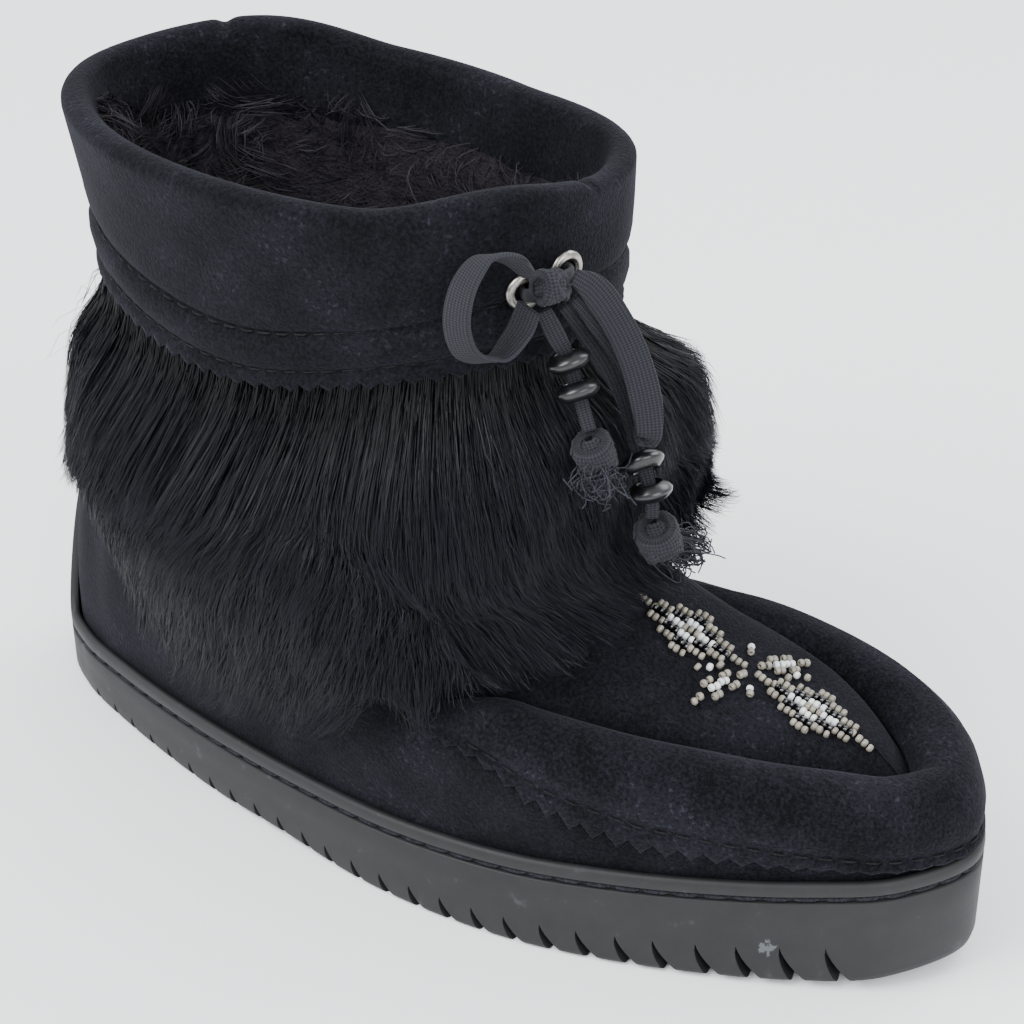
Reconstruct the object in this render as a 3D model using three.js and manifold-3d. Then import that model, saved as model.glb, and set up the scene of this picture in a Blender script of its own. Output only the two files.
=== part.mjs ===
// Ankle-high mukluk boot for the right foot: a moulded rubber cup sole, a hollow suede upper with a
// moccasin toe, a padded pinked band, a fur cuff, a folded suede collar, a flat lace with beads
// and a beaded flower on the toe plug.
// Millimetres. x runs from the back of the heel to the toe, y to the inner side of the foot and z up.
// The whole group is then set back, so that its origin is the middle of the heel's tread.
import * as THREE from 'three';
import { mergeVertices } from 'three/addons/utils/BufferGeometryUtils.js';
import Module from 'manifold-3d';

const wasm = await Module();
wasm.setup();

// Driving dimensions of the last
const SOLE_LENGTH = 272.5;
const HEEL_CENTRE = 32;
const ANKLE = { x: 97, y: -0.5 };

// Outline of the sole at the stitch groove, one row for each station along the foot
const STATIONS = [
  { x: 5, lateral: -19, medial: 17 },
  { x: 18, lateral: -28, medial: 28 },
  { x: 40, lateral: -35.5, medial: 33 },
  { x: 75, lateral: -44, medial: 31 },
  { x: 110, lateral: -49.5, medial: 28 },
  { x: 145, lateral: -52.3, medial: 31.5 },
  { x: 178, lateral: -49.2, medial: 40.5 },
  { x: 204, lateral: -41.8, medial: 45.5 },
  { x: 225, lateral: -33.6, medial: 45 },
  { x: 245, lateral: -23.8, medial: 39.8 },
  { x: 262, lateral: -12.5, medial: 28 },
];
const HEEL_POINT = { x: 0, y: 0 };
const TOE_POINT = { x: SOLE_LENGTH, y: 7 };

// Heights of the rubber cup
const GROOVE_HEEL = 13.6;
const GROOVE_TOE = 26.2;
const LIP_ABOVE_GROOVE = 4.4;
const LIP_THICKNESS = 2.6;
const FLOOR_HEEL = 7.5;
const FLOOR_TOE = 14;
const TOE_SPRING = 3.3;
const SPRING_START = 165;
const HEEL_LIFT = 1.5;
const HEEL_LIFT_END = 25;
const ARCH_RISE = 1;
const ARCH_CENTRE = 105;
const ARCH_HALF = 28;
const TAB_RISE = 38;
const TAB_HALF = 25;

// Tread: one groove across the sole at each pitch, ending in a curved notch in the side wall
const LUG_FIRST = 27;
const LUG_LAST = 254;
const LUG_PITCH = 9.08;
const LUG_WIDTH = 2.4;
const LUG_DEPTH = 2;

// Upper
const WALL = 2.4;
const FIT_GAP = 0.3;
const SEAT_GAP = 0.6;
const INSOLE_THICKNESS = 2.6;
const COLUMNS = 40;
const SOLE_COLUMNS = 64;
const FRONT_START = 130;
const FRONT_FULL = 174;
const CREST_TOE = 47.2;
const CREST_SLOPE = 0.1;
const THROAT_HEIGHT = 100;

// Vamp from the plug's edge (run 0) to the throat (run 1), as parts of the way and of the rise
const VAMP = [
  { run: 0.14, rise: 0.2 },
  { run: 0.38, rise: 0.305 },
  { run: 0.62, rise: 0.43 },
  { run: 0.82, rise: 0.56 },
  { run: 0.94, rise: 0.75 },
  { run: 1, rise: 1 },
];
// Moccasin roll of the toe: distance in from the outline and height over (or under) the crest
const ROLL = [
  { inset: 2.3, drop: 12 },
  { inset: 4.4, drop: 4.6 },
  { inset: 9, drop: 0 },
  { inset: 13.6, drop: 2.6 },
  { inset: 16.4, drop: 7 },
];
// Sections of the shaft under the collar, each an ellipse round the leg
const SHAFT = [
  { z: 100, x: 95.5, y: -1, front: 68.5, side: 42 },
  { z: 116, x: 95.5, y: -1, front: 67.2, side: 41 },
  { z: 130, x: 95.5, y: -1, front: 66.8, side: 41 },
  { z: 146, x: 96, y: -0.7, front: 68, side: 42.8 },
  { z: 162, x: 95.5, y: -0.4, front: 70, side: 45 },
  { z: 176.7, x: 94.5, y: -0.4, front: 71, side: 47.1 },
];
const RIM_FALL = 0.038;
// How far the shaft swells over the inner instep, and where the rim rises round the leg
const SWELL = { size: 7, leg: 0.5, half: 0.55, from: 92, full: 124 };
const RIM_RISES = [
  { leg: -0.3, half: 0.5, size: 4.8 },
  { leg: 2.5, half: 0.65, size: 3.7 },
];
const RIM_RISE_FROM = 132;

// Folded collar cuff
const CUFF = { gap: 0.5, thickness: 2, edgeSide: 128.8, edgeFront: 12, edgeBack: 8, foldDepth: 22 };

// Padded band round the plug: where its pinked lower edge runs, as a row of the upper at each station
const BAND_EDGE = [
  { x: 146, row: 3.8 },
  { x: 156, row: 3.3 },
  { x: 168, row: 2.66 },
  { x: 181, row: 2.03 },
  { x: 194, row: 1.75 },
  { x: 208, row: 1.58 },
  { x: 240, row: 1.6 },
  { x: SOLE_LENGTH, row: 1.8 },
];
const BAND_START = 148;
const BAND_TOP = 4.9;
const BAND_GAP = 0.7;
const BAND_LIFTS = [1.5, 2.4, 3.6, 5, 4.2, 1.2];

// Fur cuff: where its lower edge runs, and how far it stands off the wall on the way down
const FUR_EDGE = [
  { x: 0, row: 7.2 },
  { x: 10, row: 8.2 },
  { x: 20, row: 8.8 },
  { x: 32, row: 9 },
  { x: 46, row: 7.6 },
  { x: 60, row: 5.2 },
  { x: 78, row: 4.3 },
  { x: 100, row: 4.1 },
  { x: 118, row: 4.5 },
  { x: 136, row: 5.4 },
  { x: 156, row: 6.7 },
  { x: 175, row: 8.1 },
  { x: 194, row: 8.7 },
  { x: 210, row: 9.2 },
  { x: 228, row: 9.6 },
  { x: 250, row: 10.1 },
  { x: 272.5, row: 10.2 },
];
const FUR_LIFTS = [9, 18, 21, 18, 12, 7.5];
// Part of the lift round the leg: flat behind the heel, full over the inner instep
const FUR_FLAT = { size: 0.6, leg: -2.9, half: 1.3 };
const FUR_FULL = { size: 0.5, leg: 0.52, half: 0.48 };
const FUR_GAP = 2.2;
const FUR_CLEAR_OF_BAND = 8;
const LOCK_LENGTH = 13;

// Beaded flower on the plug: middle, half length and half width of each petal
const PETALS = [
  { name: 'bead_petal_toe', x: 228.3, y: 4.6, along: 13.5, across: 6, turn: 1 },
  { name: 'bead_petal_ankle', x: 195.3, y: 3.8, along: 13, across: 6.2, turn: 4 },
  { name: 'bead_petal_outer', x: 208.3, y: -5.2, along: 2.6, across: 5.6, turn: -20 },
  { name: 'bead_petal_inner', x: 215.3, y: 13.4, along: 2.6, across: 4.6, turn: -22 },
];
const PAD_THICKNESS = 1.5;

// Eyelets at the front of the collar, towards the outer side, and the lace tied through them
const EYELETS = [
  { name: 'eyelet_inner', x: 166.6, y: -8.8, z: 161.4 },
  { name: 'eyelet_outer', x: 162.4, y: -18.4, z: 158.5 },
];
const EYELET = { outer: 4.4, hole: 2.3, barrel: 2.9, seat: 0.5, flange: 1.3, depth: 1.6 };
const EYELET_SEGMENTS = 12;

// Flat lace: points on the middle of the band, with part of the full width there
const LACE = { width: 7.2, thickness: 1.4, rim: 0.7 };
const LOOP_OUTER = [
  { x: 167.6, y: -23.9, z: 165.7, part: 0.55 },
  { x: 165.7, y: -28.6, z: 171, part: 0.95 },
  { x: 162.6, y: -33.4, z: 171.8, part: 1 },
  { x: 160.4, y: -37.6, z: 167.2, part: 1 },
  { x: 159.2, y: -39.4, z: 157.7, part: 1 },
  { x: 160.4, y: -36.9, z: 149.6, part: 1 },
  { x: 163.4, y: -31, z: 147.4, part: 1 },
  { x: 166.4, y: -26.6, z: 152.4, part: 1 },
  { x: 168.2, y: -24.9, z: 158.4, part: 0.9 },
];
const LOOP_INNER = [
  { x: 174.1, y: -16, z: 164, part: 0.5 },
  { x: 177, y: -12.6, z: 160.3, part: 0.95 },
  { x: 181.5, y: -10, z: 152.6, part: 1 },
  { x: 186, y: -9.4, z: 144.1, part: 1 },
  { x: 190, y: -10.6, z: 134.9, part: 1 },
  { x: 191.8, y: -12, z: 128.4, part: 0.8 },
  { x: 189.4, y: -9.4, z: 125.8, part: 0.8 },
  { x: 187.2, y: -5.8, z: 133, part: 0.9 },
  { x: 181.6, y: -6.9, z: 143.4, part: 0.9 },
  { x: 177.2, y: -10.9, z: 152, part: 0.8 },
  { x: 173.6, y: -14.6, z: 158.6, part: 0.5 },
];
const END_OUTER = [
  { x: 169.6, y: -21.4, z: 156.6, part: 0.5 },
  { x: 172.4, y: -20.6, z: 151, part: 0.6 },
  { x: 175, y: -20, z: 146.2, part: 0.44 },
  { x: 177.5, y: -20.4, z: 140.4, part: 0.44 },
  { x: 180.4, y: -21.3, z: 134.6, part: 0.44 },
  { x: 182.3, y: -22, z: 130.8, part: 0.44 },
];
const END_INNER = [
  { x: 171.2, y: -15.2, z: 156.2, part: 0.5 },
  { x: 174.4, y: -10, z: 147, part: 0.7 },
  { x: 178.4, y: -7.4, z: 139, part: 0.7 },
  { x: 182.4, y: -7, z: 130.6, part: 0.5 },
  { x: 186.4, y: -8.8, z: 122.6, part: 0.44 },
  { x: 190.6, y: -11, z: 117, part: 0.44 },
  { x: 192.8, y: -11.8, z: 111, part: 0.44 },
  { x: 193.1, y: -12, z: 107, part: 0.44 },
];
const RIBBONS = [
  { name: 'lace_loop_outer', path: LOOP_OUTER, steps: 18, standing: true },
  { name: 'lace_loop_inner', path: LOOP_INNER, steps: 18, standing: false },
  { name: 'lace_end_outer', path: END_OUTER, steps: 10, standing: false },
  { name: 'lace_end_inner', path: END_INNER, steps: 12, standing: false },
];
const KNOTS = [
  { name: 'lace_knot', x: 170.8, y: -20.2, z: 162.3, along: 4.4, across: 3.9 },
  { name: 'lace_end_knot_outer', x: 184.4, y: -22.7, z: 125.4, along: 5, across: 5.4 },
  { name: 'lace_end_knot_inner', x: 195, y: -11.5, z: 101.2, along: 5.6, across: 5.8 },
];
const GLASS_BEADS = [
  { name: 'glass_bead_outer_upper', path: END_OUTER, part: 0.44 },
  { name: 'glass_bead_outer_lower', path: END_OUTER, part: 0.68 },
  { name: 'glass_bead_inner_upper', path: END_INNER, part: 0.765 },
  { name: 'glass_bead_inner_lower', path: END_INNER, part: 0.885 },
];
const GLASS_BEAD = { radius: 5, hole: 2.3, thickness: 4.4 };
// Where the wide side of the lace looks, and the axis of the loop that stands away from the collar
const LACE_FACING = new THREE.Vector3(0.5, -0.7, 0.5).normalize();
const LOOP_AXIS = new THREE.Vector3(0.94, 0, 0.34).normalize();
const KNOT_AXIS = new THREE.Vector3(0.35, 0.1, -0.9).normalize();

const clamp = (value, low, high) => Math.min(high, Math.max(low, value));
const mix = (a, b, t) => a + (b - a) * t;
const smooth = (value, low, high) => THREE.MathUtils.smoothstep(value, low, high);
const bump = (distance, half) => smooth(half - Math.abs(distance), 0, half);

const lateralSide = STATIONS.map((s) => new THREE.Vector3(s.x, s.lateral, 0));
const medialSide = STATIONS.map((s) => new THREE.Vector3(s.x, s.medial, 0)).reverse();
const outline = new THREE.CatmullRomCurve3([
  new THREE.Vector3(HEEL_POINT.x, HEEL_POINT.y, 0),
  ...lateralSide,
  new THREE.Vector3(TOE_POINT.x, TOE_POINT.y, 0),
  ...medialSide,
], true, 'centripetal');
outline.arcLengthDivisions = 1200;
const OUTLINE_LENGTH = outline.getLength();

// The outline's point and outward direction at a part u of the way round from the heel,
// with the columns closer together round the heel and the toe
function column(index, count) {
  const t = index / count;
  const u = t - 0.3 * Math.sin(4 * Math.PI * t) / (4 * Math.PI);
  const point = outline.getPointAt(u);
  const along = outline.getTangentAt(u);
  const fromHeel = Math.min(u, 1 - u) * OUTLINE_LENGTH;
  const leg = Math.atan2(point.y - ANKLE.y, point.x - ANKLE.x);
  return { x: point.x, y: point.y, nx: along.y, ny: -along.x, fromHeel, leg };
}

const columnsOf = (count) => Array.from({ length: count }, (_, index) => column(index, count));

// Heights that change along the foot
const toeRise = (x) => TOE_SPRING * clamp((x - SPRING_START) / (SOLE_LENGTH - SPRING_START), 0, 1) ** 2;
const heelRise = (x) => HEEL_LIFT * clamp((HEEL_LIFT_END - x) / HEEL_LIFT_END, 0, 1) ** 2;
const tread = (x) => toeRise(x) + heelRise(x) + ARCH_RISE * bump(x - ARCH_CENTRE, ARCH_HALF);
const tab = (c) => TAB_RISE * bump(c.fromHeel, TAB_HALF);
const grooveHeight = (c) => mix(GROOVE_HEEL, GROOVE_TOE, c.x / SOLE_LENGTH) + toeRise(c.x) + heelRise(c.x) + tab(c);
const lipHeight = (c) => grooveHeight(c) + LIP_ABOVE_GROOVE;
const floorHeight = (x) => mix(FLOOR_HEEL, FLOOR_TOE, x / SOLE_LENGTH);
const crestHeight = (x) => CREST_TOE + CREST_SLOPE * (SOLE_LENGTH - x);
const frontness = (c) => smooth(c.x, FRONT_START, FRONT_FULL);

const inset = (c, distance, z) => new THREE.Vector3(c.x - c.nx * distance, c.y - c.ny * distance, z);

function shaftPoint(c, section) {
  const even = 1 / Math.hypot(Math.cos(c.leg) / section.front, Math.sin(c.leg) / section.side);
  const swell = SWELL.size * bump(c.leg - SWELL.leg, SWELL.half) * smooth(section.z, SWELL.from, SWELL.full);
  const x = section.x + Math.cos(c.leg) * (even + swell);
  const y = section.y + Math.sin(c.leg) * (even + swell);
  const top = SHAFT[SHAFT.length - 1].z;
  const fall = RIM_FALL * (x - section.x) * smooth(section.z, THROAT_HEIGHT, top);
  const rises = RIM_RISES.map((r) => r.size * bump(c.leg - r.leg, r.half)).reduce((sum, rise) => sum + rise, 0);
  return new THREE.Vector3(x, y, section.z - fall + rises * smooth(section.z, RIM_RISE_FROM, top));
}

// Rows of the upper's outer face over one column, from the feather edge up to the rim
function upperColumn(c) {
  const front = frontness(c);
  const lip = lipHeight(c);
  const seat = LIP_THICKNESS + SEAT_GAP;
  const rows = [inset(c, seat, floorHeight(c.x) + FIT_GAP), inset(c, seat, lip)];
  const throat = shaftPoint(c, SHAFT[0]);
  const crest = crestHeight(c.x);
  const start = inset(c, seat, lip);
  const count = ROLL.length + VAMP.length;
  const edge = inset(c, ROLL[ROLL.length - 1].inset, crest - ROLL[ROLL.length - 1].drop);
  for (let k = 1; k <= count; k += 1) {
    const part = k / count;
    const rear = start.clone().lerp(throat, part ** 2);
    rear.z = mix(start.z, throat.z, part);
    let fore;
    if (k <= ROLL.length) {
      fore = inset(c, ROLL[k - 1].inset, crest - ROLL[k - 1].drop);
    } else {
      const row = VAMP[k - 1 - ROLL.length];
      fore = edge.clone().lerp(throat, row.run);
      fore.z = mix(edge.z, throat.z, row.rise);
    }
    rows.push(rear.lerp(fore, front));
  }
  return rows.concat(SHAFT.slice(1).map((section) => shaftPoint(c, section)));
}

// A grid of points, rows up the shoe by columns round it, and its outward normals
function gridOf(columns, columnRows) {
  const count = columns.length;
  const lines = columns.map(columnRows);
  const points = lines[0].map((_, row) => lines.map((line) => line[row]));
  const last = points.length - 1;
  const normals = points.map((row, r) => row.map((_, i) => {
    const up = points[Math.min(r + 1, last)][i].clone().sub(points[Math.max(r - 1, 0)][i]);
    const round = row[(i + 1) % count].clone().sub(row[(i + count - 1) % count]);
    return round.cross(up).normalize();
  }));
  return { points, normals, count, last };
}

// A point of the grid at a row and column that need not be whole, lifted off the surface
function skin(grid, row, col, lift) {
  const r = clamp(row, 0, grid.last);
  const r0 = Math.min(Math.floor(r), grid.last - 1);
  const i0 = ((Math.floor(col) % grid.count) + grid.count) % grid.count;
  const i1 = (i0 + 1) % grid.count;
  const across = col - Math.floor(col);
  const blend = (field) => field[r0][i0].clone().lerp(field[r0][i1], across)
    .lerp(field[r0 + 1][i0].clone().lerp(field[r0 + 1][i1], across), r - r0);
  return blend(grid.points).addScaledVector(blend(grid.normals).normalize(), lift);
}

// Bodies from rows of points
function bodyFrom(vertices, faces) {
  let volume = 0;
  for (const [a, b, c] of faces) {
    volume += vertices[a].dot(vertices[b].clone().cross(vertices[c]));
  }
  const geometry = new THREE.BufferGeometry();
  const flat = vertices.flatMap((v) => [v.x, v.y, v.z]);
  geometry.setAttribute('position', new THREE.Float32BufferAttribute(flat, 3));
  geometry.setIndex(volume < 0 ? faces.flatMap(([a, b, c]) => [a, c, b]) : faces.flat());
  return geometry;
}

// A closed shell between two like grids of rows. With ring, the rows close on themselves.
function shell(outer, inner, ring) {
  const rows = outer.length;
  const count = outer[0].length;
  const vertices = [...outer.flat(), ...inner.flat()];
  const at = (side, r, i) => side * rows * count + r * count + (i % count);
  const faces = [];
  const quad = (a, b, c, d) => faces.push([a, b, c], [a, c, d]);
  const steps = ring ? count : count - 1;
  for (let i = 0; i < steps; i += 1) {
    for (let r = 0; r < rows - 1; r += 1) {
      quad(at(0, r, i), at(0, r, i + 1), at(0, r + 1, i + 1), at(0, r + 1, i));
      quad(at(1, r, i), at(1, r + 1, i), at(1, r + 1, i + 1), at(1, r, i + 1));
    }
    quad(at(1, 0, i), at(1, 0, i + 1), at(0, 0, i + 1), at(0, 0, i));
    quad(at(0, rows - 1, i), at(0, rows - 1, i + 1), at(1, rows - 1, i + 1), at(1, rows - 1, i));
  }
  if (!ring) {
    for (let r = 0; r < rows - 1; r += 1) {
      quad(at(0, r, 0), at(0, r + 1, 0), at(1, r + 1, 0), at(1, r, 0));
      quad(at(1, r, steps), at(1, r + 1, steps), at(0, r + 1, steps), at(0, r, steps));
    }
  }
  return bodyFrom(vertices, faces);
}

// A loft through closed rings, its first and last ring closed by strips from one side to the other
function capped(rings) {
  const count = rings[0].length;
  const faces = [];
  for (let r = 0; r < rings.length - 1; r += 1) {
    for (let i = 0; i < count; i += 1) {
      const a = r * count + i;
      const b = r * count + (i + 1) % count;
      faces.push([a, b, b + count], [a, b + count, a + count]);
    }
  }
  const last = (rings.length - 1) * count;
  const cap = (a, b, c) => faces.push([a, c, b], [last + a, last + b, last + c]);
  for (let i = 0; 2 * i < count - 1; i += 1) {
    const [low, high] = [(count - i) % count, count - i - 1];
    if (i > 0) {
      cap(i, i + 1, low);
    }
    if (high > i + 1) {
      cap(i + 1, high, low);
    }
  }
  return bodyFrom(rings.flat(), faces);
}

// Booleans
function solid(geometry) {
  const bare = new THREE.BufferGeometry();
  bare.setAttribute('position', geometry.getAttribute('position').clone());
  if (geometry.index) {
    bare.setIndex(geometry.index.clone());
  }
  const merged = mergeVertices(bare, 1e-4);
  return new wasm.Manifold(new wasm.Mesh({
    numProp: 3,
    vertProperties: new Float32Array(merged.getAttribute('position').array),
    triVerts: new Uint32Array(merged.index.array),
  }));
}

function geometryOf(manifold) {
  const mesh = manifold.getMesh();
  const geometry = new THREE.BufferGeometry();
  geometry.setAttribute('position', new THREE.BufferAttribute(new Float32Array(mesh.vertProperties), 3));
  geometry.setIndex(new THREE.BufferAttribute(new Uint32Array(mesh.triVerts), 1));
  return geometry;
}

const joined = (solids) => solids.reduce((all, next) => all.add(next));

// Materials
const colours = {
  suede: { color: 0x1b1c20, roughness: 0.95, metalness: 0 },
  rubber: { color: 0x34363a, roughness: 0.55, metalness: 0 },
  fur: { color: 0x101115, roughness: 0.8, metalness: 0 },
  felt: { color: 0x2a2523, roughness: 0.95, metalness: 0 },
  cotton: { color: 0x25272b, roughness: 0.9, metalness: 0 },
  glass: { color: 0x08080a, roughness: 0.12, metalness: 0 },
  metal: { color: 0x6a6966, roughness: 0.35, metalness: 1 },
  beads: { color: 0xb4aca0, roughness: 0.35, metalness: 0 },
};

const boot = new THREE.Group();
boot.position.x = -HEEL_CENTRE;

function addPiece(name, geometry, finish) {
  const bare = geometry.index ? geometry : mergeVertices(geometry);
  bare.computeVertexNormals();
  const mesh = new THREE.Mesh(bare, new THREE.MeshStandardMaterial({ ...colours[finish] }));
  mesh.name = name;
  boot.add(mesh);
  return mesh;
}

// Moulded rubber sole: tread, bevelled edge, side wall, stitch groove, rounded lip and the cup's inside
function outsoleBody() {
  const columns = columnsOf(SOLE_COLUMNS);
  const bevel = (c) => 1.6 + 2.6 * smooth(c.x, SOLE_LENGTH - 24, SOLE_LENGTH);
  const profile = [
    (c) => inset(c, 0.9 * bevel(c), tread(c.x)),
    (c) => inset(c, 0, tread(c.x) + bevel(c)),
    (c) => inset(c, 0, grooveHeight(c) - 1),
    (c) => inset(c, 1.2, grooveHeight(c) - 0.4),
    (c) => inset(c, 1.2, grooveHeight(c) + 0.5),
    (c) => inset(c, 0.1, grooveHeight(c) + 1.3),
    (c) => inset(c, 0.3, lipHeight(c) - 1.2),
    (c) => inset(c, 1.5, lipHeight(c)),
    (c) => inset(c, LIP_THICKNESS, lipHeight(c) - 0.5),
    (c) => inset(c, LIP_THICKNESS, floorHeight(c.x)),
  ];
  const cup = solid(capped(profile.map((row) => columns.map(row))));
  return geometryOf(cup.subtract(joined(lugGrooves())));
}

// The outline's side positions and outward normal at a station x
function sideAt(x, sign) {
  const samples = columnsOf(360).filter((c) => Math.sign(c.y - 3) === sign);
  return samples.reduce((best, c) => (Math.abs(c.x - x) < Math.abs(best.x - x) ? c : best));
}

// One curved notch: a wedge that leans back as it climbs the side wall, drawn into the tread's groove
function notch(x, sign) {
  const side = sideAt(x, sign);
  const height = mix(3.4, 10.5, clamp(x / 250, 0, 1) ** 2);
  const lean = mix(2.6, 6, x / 250);
  const forward = new THREE.Vector3(-side.ny, side.nx, 0);
  forward.multiplyScalar(Math.sign(forward.x));
  const out = new THREE.Vector3(side.nx, side.ny, 0);
  const foot = new THREE.Vector3(side.x, side.y, tread(x));
  const clear = 3;
  const level = (z, along, width, depth) => {
    const half = 0.5 * width * (depth + clear) / depth;
    return [[along - half, clear], [along + half, clear], [along, -depth]]
      .map(([run, off]) => foot.clone().addScaledVector(forward, run).addScaledVector(out, off).setZ(foot.z + z));
  };
  const rings = [
    level(-2, 1, LUG_WIDTH + 1.4, 7),
    level(height, -lean, 0.4, 1),
  ];
  return solid(capped(rings));
}

function lugGrooves() {
  const cuts = [];
  for (let x = LUG_FIRST; x <= LUG_LAST; x += LUG_PITCH) {
    cuts.push(notch(x, -1), notch(x, 1));
    const plain = x > 44 && x < 136;
    const lateral = sideAt(x, -1).y + 4;
    const medial = sideAt(x, 1).y - 4;
    if (!plain) {
      const top = tread(x) + LUG_DEPTH;
      const half = LUG_WIDTH / 2;
      const rings = [lateral, medial].map((y) => [[-half, -1], [half, -1], [half, top], [-half, top]]
        .map(([dx, z]) => new THREE.Vector3(x + dx, y, z)));
      cuts.push(solid(capped(rings)));
    }
  }
  return cuts;
}

// Upper: one hollow wall from the feather edge to the rim
const shoe = gridOf(columnsOf(COLUMNS), upperColumn);

function upperBody() {
  const inner = shoe.points.map((row, r) => row.map((point, i) => {
    const lift = r < 2 ? shoe.normals[r][i].clone().setZ(0).normalize() : shoe.normals[r][i];
    return point.clone().addScaledVector(lift, -WALL);
  }));
  inner[0].forEach((point, i) => point.setZ(shoe.points[0][i].z));
  return shell(shoe.points, inner, true);
}

function insoleBody() {
  const distance = LIP_THICKNESS + SEAT_GAP + WALL + 0.5;
  const ring = (extra, lift) => columnsOf(COLUMNS).map((c) => inset(c, distance + extra, floorHeight(c.x) + lift));
  return capped([
    ring(0.6, FIT_GAP),
    ring(0, FIT_GAP + 0.6),
    ring(0, FIT_GAP + INSOLE_THICKNESS - 0.5),
    ring(0.8, FIT_GAP + INSOLE_THICKNESS),
  ]);
}

// A value from a table's rows, straight between them
function lookup(table, x, key) {
  const next = table.findIndex((row) => row.x > x);
  if (next <= 0) {
    return table[next === 0 ? 0 : table.length - 1][key];
  }
  const [low, high] = [table[next - 1], table[next]];
  return mix(low[key], high[key], (x - low.x) / (high.x - low.x));
}

// A value of an evenly spaced list at a part of its length
function along(list, part) {
  const at = part * (list.length - 1);
  const low = Math.min(Math.floor(at), list.length - 2);
  return mix(list[low], list[low + 1], at - low);
}

// Row of the upper that lies at a height over one of its columns
function rowAt(col, height) {
  const heights = shoe.points.map((row) => row[col].z);
  const above = heights.findIndex((z) => z > height);
  return above < 1 ? shoe.last : above - 1 + (height - heights[above - 1]) / (heights[above] - heights[above - 1]);
}

const legColumns = columnsOf(COLUMNS);

function cuffEdgeRow(col) {
  const turn = Math.cos(legColumns[col].leg);
  return rowAt(col, CUFF.edgeSide + (turn > 0 ? CUFF.edgeFront : CUFF.edgeBack) * turn ** 2);
}

// Collar: up the outside, over the rim and down the inside of the shaft
function cuffBody() {
  const near = CUFF.gap;
  const far = CUFF.gap + CUFF.thickness;
  const path = (lift) => legColumns.map((_, col) => {
    const edge = cuffEdgeRow(col);
    const rim = skin(shoe, shoe.last, col, 0);
    const out = shoe.normals[shoe.last][col].clone().setZ(0).normalize();
    const over = (distance) => rim.clone().addScaledVector(out, distance).setZ(rim.z + lift);
    const fold = rowAt(col, rim.z - CUFF.foldDepth);
    return [
      skin(shoe, edge, col, lift),
      skin(shoe, shoe.last - 2, col, lift),
      skin(shoe, shoe.last - 1, col, lift),
      skin(shoe, shoe.last, col, lift),
      over(lift * 0.45),
      over(-WALL - lift * 0.45),
      skin(shoe, shoe.last, col, -WALL - lift),
      skin(shoe, shoe.last - 1, col, -WALL - lift),
      skin(shoe, fold, col, -WALL - lift),
    ];
  });
  const rows = (columns) => columns[0].map((_, r) => columns.map((line) => line[r]));
  return shell(rows(path(far)), rows(path(near)), true);
}

// Columns of the band: those in front of its ends, from the outer side round the toe
const bandColumns = legColumns.map((c, col) => ({ ...c, col })).filter((c) => c.x > BAND_START);

function bandBody() {
  const rowsOf = (c) => {
    const edge = lookup(BAND_EDGE, c.x, 'row');
    return [edge, ...[2, 3, 4].map((row, k) => Math.max(row, edge + 0.1 * (k + 1))), 4.5, BAND_TOP];
  };
  const side = (offset) => BAND_LIFTS.map((_, k) => bandColumns.map((c) => {
    const row = rowsOf(c)[k];
    const part = (row - rowsOf(c)[0]) / (BAND_TOP - rowsOf(c)[0]);
    return skin(shoe, row, c.col, BAND_GAP + offset * along(BAND_LIFTS, part));
  }));
  return shell(side(1), side(0), false);
}

// Fur: a thick ring that hangs from under the collar, with pointed locks fused on
function furRow(col, part) {
  const top = cuffEdgeRow(col) - 0.12;
  return mix(top, lookup(FUR_EDGE, legColumns[col].x, 'row'), part);
}

function furClear(col, row) {
  const c = legColumns[col];
  return c.x > BAND_START - 14 && row < 7 ? FUR_CLEAR_OF_BAND : FUR_GAP;
}

// Lift of the fur's outside at one column
function furLift(col, part) {
  const { leg } = legColumns[col];
  const fromHeel = Math.abs(leg - FUR_FLAT.leg) % (2 * Math.PI);
  const flat = FUR_FLAT.size * bump(Math.min(fromHeel, 2 * Math.PI - fromHeel), FUR_FLAT.half);
  return along(FUR_LIFTS, part) * (1 - flat + FUR_FULL.size * bump(leg - FUR_FULL.leg, FUR_FULL.half));
}

function furLock(col, part, length, lift) {
  const c = (col + COLUMNS) % COLUMNS;
  const row = furRow(c, part);
  const root = skin(shoe, row, c, lift);
  const above = skin(shoe, row + 0.5, c, lift);
  const down = root.clone().sub(above).normalize();
  const out = skin(shoe, row, c, lift + 1).sub(root);
  const side = new THREE.Vector3().crossVectors(down, out).normalize();
  const tip = root.clone().addScaledVector(down, length).addScaledVector(out, 1.5);
  const base = [[-4.2, 0], [0, 3.6], [4.2, 0], [0, -3]]
    .map(([across, off]) => root.clone().addScaledVector(side, across).addScaledVector(out, off)
      .addScaledVector(down, -3));
  const faces = [[0, 1, 2], [0, 2, 3], [1, 0, 4], [2, 1, 4], [3, 2, 4], [0, 3, 4]];
  return solid(bodyFrom([...base, tip], faces));
}

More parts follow.
